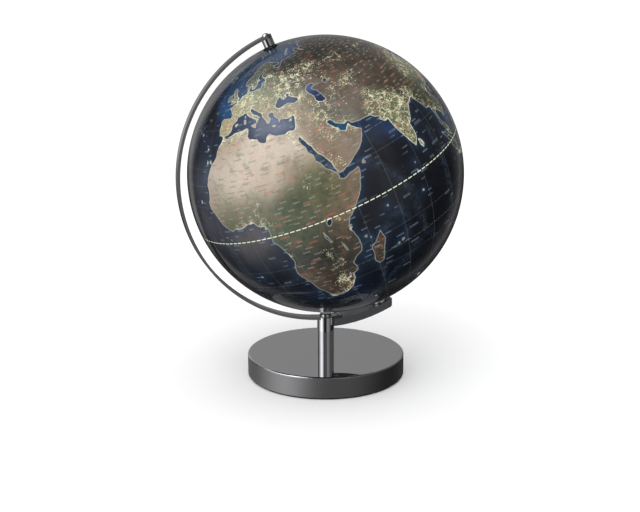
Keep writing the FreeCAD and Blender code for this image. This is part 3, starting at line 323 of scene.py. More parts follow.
# Lights strung along railways, rivers and shores: share of lit cells, reach in degrees and the line.
CITY_LINES = [
    (.55, .9, """49 53.5, 56 54.8, 61 55.2, 69 55, 73.4 55, 79 55, 83 55, 87 55.4, 92.8 56, 98 55,
        104.3 52.3, 113.5 52, 127.5 50.3, 135 48.4"""),
    (.5, .8, "83 55, 84 53.3, 80.3 50.4, 76.9 52.3"),
    (.3, .7, "73.1 49.8, 71.4 51.1, 63.6 53.2"),
    (.5, .7, "31.2 30, 31 28, 32 26.2, 32.9 24.1"),
    (.4, .8, "26.6 -20, 28.6 -17, 28 -12.8, 25.5 -10.7"),
    (.5, .8, "18.4 -33.9, 22.5 -33.9, 25.6 -33.9, 27.9 -33, 31 -29.8, 32.3 -28.3"),
    (.35, .8, "68 40.5, 65 43.6, 61 46, 57.2 50.3"),
    (.4, .7, "80.6 6.4, 79.8 7.4, 79.9 9.5"),
    (.5, .7, "39.2 21.5, 38 24, 35.5 28, 35 29.6"),
    (.35, .7, "-17 14.6, -16.3 17, -16 20"),
    (.45, .8, "76 10, 75 12.5, 73.2 17, 72.8 19"),
    (.5, .9, "80.2 13, 80 16, 82.4 17, 85 19.6, 87 21.4"),
]

# Ridges and fracture lines that show paler on the sea floor.
RIDGES = [
    """-33 52, -28 45, -30 38, -38 30, -45 24, -44 15, -33 8, -22 1, -13 -2, -12 -12, -14 -22, -11 -35,
        -12 -45, 0 -53, 20 -53, 35 -45""",
    "35 -45, 50 -35, 58 -30, 66 -25, 70 -22, 68 -14, 67 -4, 63 4, 58 10, 52 14",
    "70 -22, 80 -32, 78 -40, 95 -48, 115 -50, 140 -52, 165 -60",
    "88 10, 88 -4, 89 -16, 88 -30",
    "2 -22, 8 -20, 13 -18",
    "-24 -30, -32 -31",
    "52 -12, 60 -8, 61 -12, 60 -20",
    "45 -28, 46 -34, 44 -40",
    "-105 -5, -108 -20, -112 -35, -118 -48, -140 -57",
    "-175 50, -165 30, -155 20, -145 5",
]

# How far the printed map stands off true latitude, in degrees: it is stretched away from the equator.
STRETCH = [(-90, 0), (-60, -2.4), (-35, -2.1), (0, 0), (38, 4.9), (48, 4.4), (57, 3.6), (72, 2.0), (90, 0)]

# Blank dashes where a map has its small print: cell size in degrees of longitude and latitude, share of cells
# used, seed, strength, ink and place.
SMALL_PRINT = (
    (9.0, 3.4, 0.10, 1, 0.26, (.50, .56, .64), "sea"),
    (6.5, 2.0, 0.42, 4, 0.42, (.50, .56, .64), "near shore"),
    (8.0, 1.9, 0.55, 5, 0.60, (.42, .43, .32), "northern land"),
    (6.0, 1.8, 0.50, 3, 0.34, (.66, .66, .62), "land"),
    (8.0, 2.6, 0.36, 2, 0.46, (.66, .37, .29), "land"),
)

GRID_STEP = 15.0            # degrees between meridians, and between parallels
TROPIC = 23.44              # latitude of the tropics
TROPIC_STRENGTH = 0.12      # beside the equator's line
DASH_STEP = 2.5             # degrees of longitude from one dash of the equator to the next
DASH_SHARE = 0.72           # of that step, drawn
COAST_LIMIT = 30            # mm; the distance to the coast is not stored beyond this


# ---- reading the map -----------------------------------------------------------------------------

def rows_of(text):
    return np.array([[float(v) for v in row.split()] for row in text.split(",")])


def unit(lonlat):
    """Points of the unit ball for rows that begin with longitude and latitude in degrees."""
    lon, lat = np.radians(lonlat[:, 0]), np.radians(lonlat[:, 1])
    return np.stack([np.cos(lat) * np.cos(lon), np.cos(lat) * np.sin(lon), np.sin(lat)], axis=1)


def divided(line, longest=2.5):
    """The line with extra points, so that a long run follows the flat map and doesn't cut under the ball."""
    rows = [line[:1]]
    for a, b in zip(line[:-1], line[1:]):
        count = max(1, int(np.ceil(np.abs(b - a).max() / longest)))
        rows.append(a + (b - a) * (np.arange(1, count + 1) / count)[:, None])
    return np.concatenate(rows)


def islet(lon, lat, radius, count=9):
    """A small uneven ring of points."""
    turn = np.arange(count) / count * 2 * np.pi
    r = radius * (1 + 0.25 * np.sin(3 * turn + lon) + 0.15 * np.cos(2 * turn + lat))
    return np.stack([lon + r * np.cos(turn) / np.cos(np.radians(lat)), lat + r * np.sin(turn)], axis=1)


def gap_to(lines, points, chunk=16384):
    """Distance, on the unit ball, from each point to the nearest of the lines."""
    ends = [unit(divided(line)) for line in lines]
    a = np.concatenate([e[:-1] for e in ends]).astype(np.float32)
    b = np.concatenate([e[1:] for e in ends]).astype(np.float32)
    ab = b - a
    long2 = np.maximum((ab * ab).sum(1), 1e-12)
    a_ab = (a * ab).sum(1)
    out = np.empty(len(points), np.float32)
    for i in range(0, len(points), chunk):
        p = points[i:i + chunk].astype(np.float32)
        along = p @ ab.T - a_ab
        t = np.clip(along / long2, 0, 1)
        d2 = 2 - 2 * (p @ a.T) - t * (2 * along - t * long2)
        out[i:i + chunk] = np.sqrt(np.maximum(d2.min(1), 0))
    return out


def inside(outline, lonlat):
    """Which points lie inside a closed outline."""
    got = np.zeros(len(lonlat), bool)
    low, high = outline.min(0), outline.max(0)
    for shift in (0, 360):
        x, y = lonlat[:, 0] + shift, lonlat[:, 1]
        near = np.nonzero((x >= low[0]) & (x <= high[0]) & (y >= low[1]) & (y <= high[1]))[0]
        if not len(near):
            continue
        px, py, odd = x[near], y[near], np.zeros(len(near), bool)
        for (x1, y1), (x2, y2) in zip(outline, np.roll(outline, -1, axis=0)):
            if y1 != y2:
                odd ^= ((y1 > py) != (y2 > py)) & (px < (x2 - x1) * (py - y1) / (y2 - y1) + x1)
        got[near] |= odd
    return got


def nearness(points, rows):
    """How strongly each row's spot (longitude, latitude, reach in degrees) is felt at each point."""
    gap2 = np.maximum(2 - 2 * points @ unit(rows).T, 0)
    return np.exp(-gap2 / np.radians(rows[:, 2]) ** 2)


def true_latitude(lon, printed):
    """The latitude whose print lies at this latitude of the ball, both in degrees."""
    at, off = np.array(STRETCH, float).T
    swing = 0.8 + 0.35 * np.cos(np.radians(lon + 10))
    lat = printed.copy()
    for _ in range(6):
        lat = printed - np.interp(lat, at, off) * np.where(lat > 0, swing, 1.0)
    return lat


def map_layers(local):
    """The map at each point of the ball, given about its own axis: signed distance to the coast in mm, tint of
    the land, tint of the sea with some painted sheen, share of lit cells and strength of the ridges."""
    look = bpy.context.scene.globe_map
    p = local / np.linalg.norm(local, axis=1)[:, None]
    lon, lat = np.arctan2(p[:, 1], p[:, 0]) - math.radians(look.spin), np.arcsin(np.clip(p[:, 2], -1, 1))
    lon = np.degrees((lon + np.pi) % (2 * np.pi) - np.pi)
    lonlat = np.stack([lon, true_latitude(lon, np.degrees(lat))], axis=1)
    geo = unit(lonlat)

    land = [rows_of(text) for text in LAND.values()] + [islet(*row) for row in rows_of(ISLETS)]
    lakes = [rows_of(text) for text in LAKES.values()]
    dry = np.zeros(len(p), bool)
    for outline in land:
        dry |= inside(outline, lonlat)
    for outline in lakes:
        dry &= ~inside(outline, lonlat)
    # An outline that holds the pole is left open there; the others are closed.
    shores = [o[o[:, 1] > -89] if o[:, 1].min() <= -90 else np.concatenate([o, o[:1]]) for o in land + lakes]
    coast = gap_to(shores, geo) * BALL_R / MM * np.where(dry, 1, -1)

    rows = rows_of(LAND_TINTS)
    felt = nearness(geo, rows)
    tint = (felt @ (rows[:, 3:] / 100) + 1e-5 * 0.24) / (felt.sum(1) + 1e-5)[:, None]

    # The sea's tint is partly painted sheen: the varnish's reflection off West Africa, in the Gulf of Guinea
    # and in the Mediterranean.
    rows = rows_of(SEA_TINTS_AND_SHEEN)
    felt = nearness(geo, rows) * (rows[:, 3] / 100)
    share = felt.sum(1)
    glow = felt @ (rows[:, 4:] / 100) / np.maximum(share, 1e-6)[:, None]
    sea = np.tile(np.array(look.deep_sea), (len(p), 1))
    sea = sea + (glow - sea) * (1 - np.exp(-1.6 * share))[:, None]

    rows = rows_of(CITY_FIELDS)
    city = 1 - np.prod(1 - nearness(geo, rows) * (rows[:, 3] / 100), axis=1)
    for strength, reach, line in CITY_LINES:
        away = gap_to([rows_of(line)], geo)
        city = np.maximum(city, strength * np.exp(-(away / math.radians(reach)) ** 2))
    ridge = np.exp(-(gap_to([rows_of(line) for line in RIDGES], geo) / math.radians(1.6)) ** 2)
    return (np.clip(coast, -COAST_LIMIT, COAST_LIMIT), np.clip(tint, 0, 1), np.clip(sea, 0, 1),
            np.clip(city, 0, 1), ridge)


# ---- materials -----------------------------------------------------------------------------------

def linear(colour):
    return tuple(c / 12.92 if c <= 0.04045 else ((c + 0.055) / 1.055) ** 2.4 for c in colour[:3])


def darker(colour, share):
    return linear([c * share for c in colour])


class Tree:
    """A node tree, with its nodes added in short lines."""

    def __init__(self, node_tree):
        self.nodes, self.links = node_tree.nodes, node_tree.links

    def feed(self, node, sockets):
        for key, value in sockets.items():
            socket = node.inputs[key if isinstance(key, int) else key.replace("_", " ")]
            if isinstance(value, bpy.types.NodeSocket):
                self.links.new(value, socket)
            elif socket.type == "RGBA":
                socket.default_value = (*value[:3], 1)
            else:
                socket.default_value = value

    def add(self, kind, inputs=None, **settings):
        node = self.nodes.new("ShaderNode" + kind)
        for key, value in settings.items():
            setattr(node, key, value)
        self.feed(node, inputs or {})
        return node

    def math(self, operation, a, b=0.5, c=0.5, clamp=False):
        return self.add("Math", {0: a, 1: b, 2: c}, operation=operation, use_clamp=clamp).outputs[0]

    def times(self, first, *others):
        for other in others:
            first = self.math("MULTIPLY", first, other)
        return first

    def apart(self, a, b):
        return self.math("ABSOLUTE", self.math("SUBTRACT", a, b))

    def between(self, value, low, high, to_low=0.0, to_high=1.0):
        inputs = {0: value, 1: low, 2: high, 3: to_low, 4: to_high}
        return self.add("MapRange", inputs, clamp=True).outputs[0]

    def ramp(self, value, stops, convert=linear):
        """A colour ramp from (place, colour) stops, the colours as drawn unless told otherwise."""
        node = self.add("ValToRGB", {0: value})
        ends = node.color_ramp.elements
        while len(ends) < len(stops):
            ends.new(0.5)
        for end, (at, colour) in zip(ends, stops):
            end.position = at
            end.color = (*convert(colour if isinstance(colour, tuple) else (colour,) * 3), 1)
        return node.outputs[0]

    def mix(self, factor, a, b, blend="MIX"):
        node = self.add("Mix", data_type="RGBA", blend_type=blend)
        self.feed(node, {0: factor, 6: a, 7: b})
        return node.outputs[2]


class Finish(Tree):
    """A material and its shader."""

    def __init__(self, name, **sockets):
        self.material = bpy.data.materials.new(name)
        self.material.use_nodes = True
        super().__init__(self.material.node_tree)
        self.set(**sockets)

    def place(self, centre=(0, 0, 0), turn=(0, 0, 0), scale=(1, 1, 1)):
        """Object coordinates taken about a centre, turned and stretched."""
        source = self.add("TexCoord").outputs["Object"]
        inputs = {"Vector": source, "Location": centre, "Rotation": turn, "Scale": scale}
        return self.add("Mapping", inputs, vector_type="TEXTURE").outputs[0]

    def noise(self, vector, size, detail=3.0, roughness=0.5, distortion=0.0):
        """Cloudy noise whose blotches are about this many metres across."""
        inputs = {"Vector": vector, "Scale": 1 / size, "Detail": detail, "Roughness": roughness,
                  "Distortion": distortion}
        return self.add("TexNoise", inputs).outputs[0]

    def bump(self, height, strength, distance):
        return self.add("Bump", {"Height": height, "Strength": strength, "Distance": distance}).outputs[0]

    def set(self, **sockets):
        self.feed(self.nodes["Principled BSDF"], sockets)
        return self.material


def streaks(f, lon, lat, cell_lon, cell_lat, share, seed, thick=0.19):
    """Short soft strokes along the parallels, one at most to a cell. They are blank dashes only."""
    v = f.math("DIVIDE", lat, cell_lat)
    row = f.math("FLOOR", v)
    u = f.math("MULTIPLY_ADD", row, 0.37 + seed * 0.1, f.math("DIVIDE", lon, cell_lon))
    cell = f.add("CombineXYZ", {0: f.math("FLOOR", u), 1: row, 2: float(seed)}).outputs[0]
    chance = f.add("TexWhiteNoise", {"Vector": cell}, noise_dimensions="3D")
    split = f.add("SeparateColor", {0: chance.outputs["Color"]}).outputs
    chosen = f.math("LESS_THAN", chance.outputs["Value"], share)
    across = f.math("SUBTRACT", f.math("FRACT", u), f.times(split[0], 0.4))
    reach = f.math("MULTIPLY_ADD", split[1], 0.30, 0.25)
    body = f.times(f.math("GREATER_THAN", across, 0.0), f.math("LESS_THAN", across, reach))
    up = f.apart(f.math("FRACT", v), f.math("MULTIPLY_ADD", split[2], 0.3, 0.35))
    soft = f.between(up, thick * 0.35, thick, 1, 0)
    fine = f.add("CombineXYZ", {0: f.times(u, 3.2 * cell_lon), 1: row, 2: float(seed)}).outputs[0]
    breaks = f.between(f.noise(fine, 1.0, 1.0), 0.38, 0.50, 0.25, 1)
    return f.times(chosen, body, soft, breaks)


def specks(f, place, size, share, spread):
    """Bright specks, one to a cell, where the cell's own chance is under the share; and each speck's hue."""
    cells = f.add("TexVoronoi", {"Vector": place, "Scale": 1 / size})
    chance = f.add("SeparateColor", {0: cells.outputs["Color"]}).outputs
    lit = f.math("LESS_THAN", chance[0], share)
    spot = f.between(cells.outputs["Distance"], spread * 0.45, spread, 1, 0)
    return f.times(lit, spot, f.math("MULTIPLY_ADD", chance[1], 0.7, 0.3)), chance[2]


def threads(f, place, size, width):
    """A net of fine uneven lines, like lit roads between towns."""
    bend = f.add("TexNoise", {"Vector": place, "Scale": 1 / size, "Detail": 3.0}).outputs["Color"]
    bent = f.add("VectorMath", {0: bend, 1: (size, size, size), 2: place}, operation="MULTIPLY_ADD")
    cells = f.add("TexVoronoi", {"Vector": bent.outputs[0], "Scale": 1 / size}, feature="DISTANCE_TO_EDGE")
    return f.between(cells.outputs["Distance"], width * 0.3, width, 1, 0)


def map_finish(name):
    """The printed map under a clear varnish, drawn on longitude and latitude from the skin's own layers."""
    look = bpy.context.scene.globe_map
    f = Finish(name)
    place = f.place(centre=CENTRE, turn=(0, -TILT, 0))
    unit_place = f.add("VectorMath", {0: place}, operation="NORMALIZE").outputs[0]
    x, y, z = f.add("SeparateXYZ", {0: unit_place}).outputs
    lat = f.times(f.math("ARCSINE", z), 180 / math.pi)
    lon = f.times(f.math("ARCTAN2", y, x), 180 / math.pi)
    lon = f.math("ADD", lon, -look.spin + 360.0)

    def layer(attribute, output="Fac"):
        return f.add("Attribute", attribute_name=attribute, attribute_type="GEOMETRY").outputs[output]

    city = layer("city")
    fray = f.math("SUBTRACT", f.noise(place, 4.5 * MM, 4, 0.62), 0.5)
    coast = f.math("MULTIPLY_ADD", fray, look.coast_fray, layer("coast"))
    dry = f.between(coast, -0.15, 0.15)

    # Land: its tint, darkened and reddened by the relief.
    relief = f.noise(place, 9 * MM, 8, 0.66, 0.4)
    grain = f.noise(place, 2.2 * MM, 5, 0.6)
    slopes = f.ramp(relief, [(0.3, 0.82), (0.5, 0.99), (0.72, 1.0)])
    ground = f.mix(1.0, layer("tint", "Color"), slopes, "MULTIPLY")
    ground = f.mix(f.between(grain, 0.5, 0.75, 0, 0.22), ground, linear((.40, .29, .22)), "MULTIPLY")
    ground = f.mix(f.between(relief, 0.52, 0.70, 0, 0.18), ground, linear((.62, .42, .33)))

    # Sea: its tint with some painted sheen, the ridges of its floor and the shallow water at the shores.
    swell = f.noise(place, 26 * MM, 5, 0.6, 0.6)
    sea = f.mix(1.0, layer("sea", "Color"), f.ramp(swell, [(0.3, 0.72), (0.7, 1.0)]), "MULTIPLY")
    ridge = f.times(layer("ridge"), f.between(f.noise(place, 5 * MM, 5, 0.7), 0.42, 0.62))
    sea = f.mix(f.times(ridge, 0.20), sea, linear((.30, .38, .48)))
    shelf = f.math("EXPONENT", f.times(coast, 1 / look.shelf_width))
    sea = f.mix(f.math("MULTIPLY", shelf, look.shelf_glow, clamp=True), sea, look.shelf_sea)
    colour = f.mix(dry, sea, ground)

    shore = f.between(f.math("ABSOLUTE", coast), 0.12, 0.55, 1, 0)
    shore = f.times(shore, f.math("MULTIPLY_ADD", city, 0.75, 0.28, clamp=True))
    colour = f.mix(shore, colour, linear(look.shore_line))

    # Night lights: large and small towns and the roads between them.
    share = f.times(city, f.between(f.noise(place, 5 * MM, 4, 0.7), 0.40, 0.62, 0.15, 1.5))
    towns, hue = specks(f, place, 1.5 * MM, f.times(share, 0.55), 0.42)
    villages, _ = specks(f, place, 0.9 * MM, share, 0.50)
    roads = f.times(threads(f, place, 5.5 * MM, 0.09), f.between(share, 0.22, 0.75, 0, 0.75))
    lit = f.math("MAXIMUM", f.math("MAXIMUM", towns, villages), roads)
    lit = f.times(lit, f.between(coast, -0.5, 0.1))
    lamp = f.ramp(hue, [(0.0, (.97, .96, .88)), (0.5, (.93, .92, .74)), (0.8, (.78, .82, .62)),
                        (1.0, (.98, .84, .66))])
    colour = f.mix(f.times(lit, look.light_cover), colour, lamp)

    # The grid. Meridians are measured across at their own latitude, so they stay equally wide.
    step = f.math("DIVIDE", lon, GRID_STEP)
    slim = f.math("MAXIMUM", f.math("COSINE", f.math("RADIANS", lat)), 0.15)
    meridians = f.between(f.times(f.apart(step, f.math("ROUND", step)), slim), 0.006, 0.013, 1, 0)
    step = f.math("DIVIDE", lat, GRID_STEP)
    parallels = f.between(f.apart(step, f.math("ROUND", step)), 0.08 / GRID_STEP, 0.16 / GRID_STEP, 1, 0)
    grid = f.times(f.math("MAXIMUM", meridians, parallels), look.grid_strength)
    colour = f.mix(grid, colour, linear((.72, .74, .70)))

    dash = f.math("LESS_THAN", f.math("FRACT", f.math("DIVIDE", lon, DASH_STEP)), DASH_SHARE)
    equator = f.between(f.math("ABSOLUTE", lat), 0.10, 0.24, 1, 0)
    tropics = f.between(f.apart(f.math("ABSOLUTE", lat), TROPIC), 0.05, 0.13, 1, 0)
    rings = f.times(f.math("MAXIMUM", equator, f.times(tropics, TROPIC_STRENGTH)), dash)
    colour = f.mix(rings, colour, linear(look.equator_line))

    wet = f.math("SUBTRACT", 1.0, dry)
    masks = {"sea": wet, "near shore": f.times(f.between(coast, -14.0, -4.0), wet),
             "land": dry, "northern land": f.times(dry, f.between(lat, -1.0, 0.5))}
    for cell_lon, cell_lat, used, seed, strength, ink, where in SMALL_PRINT:
        printed = streaks(f, lon, lat, cell_lon, cell_lat, used, seed)
        colour = f.mix(f.times(printed, masks[where], strength), colour, linear(ink))

    wear = f.noise(place, 30 * MM, 6, 0.7)
    # Painted light: the printed night lights also glow, giving off a faint light of their own, though the print
    # is no lamp.
    return f.set(Base_Color=colour, Roughness=f.between(wear, 0.3, 0.7, 0.34, 0.46), Specular_IOR_Level=0.12,
                 Coat_Weight=1.0, Coat_IOR=look.varnish_ior, Coat_Roughness=0.045,
                 Emission_Color=f.mix(lit, (0, 0, 0), lamp), Emission_Strength=look.light_glow,
                 Coat_Normal=f.bump(f.noise(place, 9 * MM, 2, 0.4), 0.05, 0.00004))


def chrome(name, colour, rough, centre=(0, 0, 0), hairlines=0.25):
    """Plated metal: faint polishing hairlines, thin hazy patches and finger-dull spots."""
    f = Finish(name, Metallic=1.0, Specular_IOR_Level=0.5)
    place = f.place(centre)
    fine = f.noise(place, 0.5 * MM, 3, 0.6)
    haze = f.noise(place, 22 * MM, 6, 0.65)
    tone = f.mix(f.between(haze, 0.35, 0.75, 0, 0.10), linear(colour), darker(colour, 0.80))
    spread = f.math("MULTIPLY_ADD", f.between(haze, 0.42, 0.72), 0.045, rough)
    spread = f.math("MULTIPLY_ADD", fine, 0.03, spread)
    return f.set(Base_Color=tone, Roughness=spread, Normal=f.bump(fine, hairlines * 0.1, 0.00001))


def base_metal_and_side_shade(name, colour):
    """The base is mirror polished on top and finely brushed round its side, where painted shade also darkens
    it.
    """
    f = Finish(name, Metallic=1.0)
    place = f.place()
    height = f.add("SeparateXYZ", {0: place}).outputs[2]
    side = f.between(height, BASE_TOP - 1.5 * MM, BASE_TOP - 0.5 * MM, 1, 0)
    lines = f.noise(f.place(scale=(4, 4, 0.12)), 1.6 * MM, 4, 0.6)
    haze = f.noise(place, 24 * MM, 6, 0.6)
    tone = f.mix(f.between(haze, 0.35, 0.75, 0, 0.06), linear(colour), darker(colour, 0.85))
    tone = f.mix(f.times(side, f.between(lines, 0.3, 0.7, 0, 0.16)), tone, (0.25, 0.25, 0.25))
    # Painted shade: the side's colour is darkened by half towards black, standing in for the darker
    # surroundings that the side reflects.
    tone = f.mix(f.times(side, 0.50), tone, (0, 0, 0))
    rough = f.math("MULTIPLY_ADD", side, 0.52, f.between(haze, 0.4, 0.7, 0.008, 0.022))
    return f.set(Base_Color=tone, Roughness=rough, Normal=f.bump(lines, 0.03, 0.00001))


def plain(name, colour, rough, speck, depth, metallic=0.0, tint=None):
    """Moulded, cast or coated stuff: fine grain in its colour, gloss and surface."""
    f = Finish(name, Metallic=metallic)
    place = f.place()
    fine = f.noise(place, speck, 4, 0.6)
    broad = f.noise(place, 14 * MM, 5, 0.6)
    dark = linear(tint) if tint else darker(colour, 0.72)
    tone = f.mix(f.between(fine, 0.35, 0.7), linear(colour), dark)
    tone = f.mix(f.between(broad, 0.45, 0.75, 0, 0.35), tone, dark)
    return f.set(Base_Color=tone, Roughness=f.between(broad, 0.3, 0.7, rough * 0.88, rough * 1.12),
                 Normal=f.bump(fine, depth, 0.00008))


# ---- shapes --------------------------------------------------------------------------------------

def finished(bm, name, body, node, material):
    """The piece, shaded smooth but for its creases, riding on its body and standing for its CAD node."""
    mesh = bpy.data.meshes.new(name)
    bm.to_mesh(mesh)
    bm.free()
    old_normals = mesh.attributes.get("custom_normal")
    if old_normals:
        mesh.attributes.remove(old_normals)
    mesh.shade_smooth()
    mesh.set_sharp_from_angle(angle=CREASE)
    piece = bpy.data.objects.new(name, mesh)
    bpy.context.scene.collection.objects.link(piece)
    mesh.materials.append(material)
    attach(piece, body)
    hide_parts(node)
    return piece


def clad(nodes, ending, material):
    """Welded copies of fixed CAD nodes in a metal finish; their flat faces look flat beside small roundings."""
    for node in nodes:
        bm = bmesh.new()
        bm.from_mesh(frame["nodes"][node].data)
        bmesh.ops.remove_doubles(bm, verts=bm.verts, dist=2e-6)
        bmesh.ops.dissolve_degenerate(bm, edges=bm.edges, dist=1e-7)
        piece = finished(bm, f"{node}_{ending}", "stand", node, material)
        piece.modifiers.new("even shading", "WEIGHTED_NORMAL").keep_sharp = True


def give(node, material):
    """A CAD node keeps its shape and takes this material in every slot."""
    piece = frame["nodes"][node]
    if not piece.material_slots:
        piece.data.materials.append(material)
    for place in piece.material_slots:
        place.material = material


def half_skin(radius, level, up, hole_r):
    """Half a ball about Z at zero, cut at the equator and round the hole at its pole."""
    skin = bmesh.new()
    bmesh.ops.create_icosphere(skin, subdivisions=level, radius=radius)
    bmesh.ops.rotate(skin, verts=skin.verts, cent=(0, 0, 0), matrix=Matrix.Rotation(SKIN_TURN, 3, "X"))
    reach = math.sqrt(radius ** 2 - hole_r ** 2)
    for co, no in (((0, 0, 0), (0, 0, -up)), ((0, 0, up * reach), (0, 0, up))):
        bmesh.ops.bisect_plane(skin, geom=skin.verts[:] + skin.edges[:] + skin.faces[:], dist=2e-5,
                               plane_co=co, plane_no=no, clear_outer=True, clear_inner=False)
    return skin


def half_ball(name, node, up, hole_r, material):
    """One printed half: a fine outer skin that carries the map, a coarser inner skin and the rims between."""
    bm = bmesh.new()
    for radius, level in ((BALL_R, OUTER_LEVEL), (BALL_R - BALL_WALL, INNER_LEVEL)):
        skin = half_skin(radius, level, up, hole_r)
        if radius < BALL_R:
            bmesh.ops.reverse_faces(skin, faces=skin.faces)
        held = bpy.data.meshes.new("skin")
        skin.to_mesh(held)
        skin.free()
        bm.from_mesh(held)
        bpy.data.meshes.remove(held)
    open_edges = [e for e in bm.edges if e.is_boundary]
    at_seam = [e for e in open_edges if abs(e.verts[0].co.z) < 1e-4]
    at_pole = [e for e in open_edges if abs(e.verts[0].co.z) >= 1e-4]
    for rim in (at_seam, at_pole):
        made = bmesh.ops.bridge_loops(bm, edges=rim)
        bmesh.ops.triangulate(bm, faces=made["faces"])
    bm.verts.ensure_lookup_table()
    local = np.array([v.co[:] for v in bm.verts])
    bmesh.ops.transform(bm, matrix=TO_AXIS, verts=bm.verts)
    piece = finished(bm, name, "globe", node, material)

    outer = np.linalg.norm(local, axis=1) > BALL_R - BALL_WALL / 2
    inner_values = {"coast": COAST_LIMIT, "tint": 0.8, "sea": 0.8, "city": 0, "ridge": 0}
    for (title, inner), printed in zip(inner_values.items(), map_layers(local[outer])):
        values = np.full((len(local), *printed.shape[1:]), inner, float)
        values[outer] = printed
        if printed.ndim == 1:
            layer = piece.data.attributes.new(title, "FLOAT", "POINT")
            layer.data.foreach_set("value", values.astype(np.float32))
        else:
            layer = piece.data.attributes.new(title, "FLOAT_COLOR", "POINT")
            rgb = np.where(values <= 0.04045, values / 12.92, ((values + 0.055) / 1.055) ** 2.4)
            rgba = np.concatenate([rgb, np.ones((len(rgb), 1))], axis=1)
            layer.data.foreach_set("color", rgba.astype(np.float32).ravel())


# ---- settings ------------------------------------------------------------------------------------

def number(name, description, default, **limits):
    return FloatProperty(name=name, description=description, default=default, **limits)


def swatch(name, description, default):
    return FloatVectorProperty(name=name, description=description, subtype="COLOR", size=3, min=0, max=1,
                               default=default)


class MapSettings(bpy.types.PropertyGroup):
    """The printed map on the ball."""
    spin: number("Spin", "Angle that Greenwich has turned from the arm's plane, in degrees", -140.42)
    deep_sea: swatch("Deep sea", "Open sea away from every shore", (0.085, 0.095, 0.125))
    shelf_sea: swatch("Shelf sea", "Shallow water at the shores", (0.014, 0.045, 0.10))
    shelf_width: number("Shelf width", "How far the shallow water reaches, in mm", 3.0, min=0.1)
    shelf_glow: number("Shelf glow", "Strength of the shallow water at the shore", 0.5, min=0, max=1)
    coast_fray: number("Coast fray", "How ragged the shores are, in mm", 1.9, min=0)
    shore_line: swatch("Shore line", "The pale printed outline of the shores", (0.84, 0.84, 0.76))
    equator_line: swatch("Equator line", "The broken line round the equator", (0.90, 0.91, 0.80))
    grid_strength: number("Grid strength", "Strength of the meridians and parallels", 0.06, min=0, max=1)
    light_cover: number("Night light cover", "How much the night lights hide the ground", 0.85, min=0, max=1)
    light_glow: number("Night light glow", "Light that the night lights give", 0.06, min=0)
    varnish_ior: number("Varnish index", "Refractive index of the clear varnish", 1.38, min=1, max=2)


class StandSettings(bpy.types.PropertyGroup):
    """The polished stand."""
    base_colour: swatch("Base", "Colour of the polished base", (0.90, 0.90, 0.91))
    arm_colour: swatch("Arm", "Colour of the arm's dark plating", (0.62, 0.62, 0.63))
    housing_colour: swatch("Housing", "Colour of the lamp housing", (0.52, 0.53, 0.54))
    pivot_colour: swatch("Pivots", "Colour of the bright pieces at the poles", (0.90, 0.91, 0.92))


class StageSettings(bpy.types.PropertyGroup):
    """The floor, light and camera."""
    azimuth: number("Azimuth", "Camera angle round the object", math.radians(-16.84), subtype="ANGLE")
    elevation: number("Elevation", "Camera angle above the horizon", math.radians(14.04), subtype="ANGLE")
    distance: number("Distance", "From the camera to its target", 1.002, unit="LENGTH")
    target: FloatVectorProperty(name="Target", description="Point that the camera looks at",
                                subtype="TRANSLATION", default=(-0.00492, 0.00149, 0.11336))
    roll: number("Roll", "Turn of the camera about its own view", math.radians(0.18), subtype="ANGLE")
    lens: number("Lens", "Focal length in mm on a 36 mm sensor", 60.87)
    floor: swatch("Floor", "Colour of the floor", (0.985, 0.985, 0.985))
    dome: number("Dome", "Strength of the even studio light", 1.12, min=0)
    key: number("Key light", "Power of the large soft light above", 14.0, unit="POWER")


# ---- pieces --------------------------------------------------------------------------------------

class GLOBE_OT_ball(bpy.types.Operator):
    """Make both printed halves of the ball"""
    bl_idname = "globe.ball"
    bl_label = "Map Ball"

    def execute(self, context):
        look = map_finish("printed map under varnish")
        half_ball("map_ball_north", "globe_shell_north", 1, NORTH_HOLE_R, look)
        half_ball("map_ball_south", "globe_shell_south", -1, SOUTH_HOLE_R, look)
        return {"FINISHED"}


class GLOBE_OT_base(bpy.types.Operator):
    """Finish the base disc, the stem and the cap nut over it"""
    bl_idname = "globe.base"
    bl_label = "Base and Stem"

    def execute(self, context):
        tone = context.scene.globe_stand.base_colour
        mirror = chrome("mirror chrome", tone, 0.012, hairlines=0.05)
        brushed = base_metal_and_side_shade("polished base with painted side shade", tone)
        clad(["base_disc"], "polished", brushed)
        clad(["stem_tube", "arm_cap_nut"], "polished", mirror)
        return {"FINISHED"}


class GLOBE_OT_arm(bpy.types.Operator):
    """Plate the meridian arm"""
    bl_idname = "globe.arm"
    bl_label = "Meridian Arm"

    def execute(self, context):
        plating = chrome("arm plating", context.scene.globe_stand.arm_colour, 0.05, CENTRE)
        clad(["meridian_arm"], "plated", plating)
        return {"FINISHED"}


class GLOBE_OT_housing(bpy.types.Operator):
    """Lacquer the lamp housing under the ball and its cover"""
    bl_idname = "globe.housing"
    bl_label = "Lamp Housing"

    def execute(self, context):
        lacquer = chrome("housing lacquer", context.scene.globe_stand.housing_colour, 0.22, CENTRE)
        clad(["lamp_housing", "housing_cover"], "lacquered", lacquer)
        return {"FINISHED"}


class GLOBE_OT_pivots(bpy.types.Operator):
    """Finish the bright pieces at the two poles"""
    bl_idname = "globe.pivots"
    bl_label = "Pole Pivots"

    def execute(self, context):
        bright = chrome("bright chrome", context.scene.globe_stand.pivot_colour, 0.04)
        clad(["north_pivot_screw", "north_spacer", "lamp_tube"], "bright", bright)
        return {"FINISHED"}


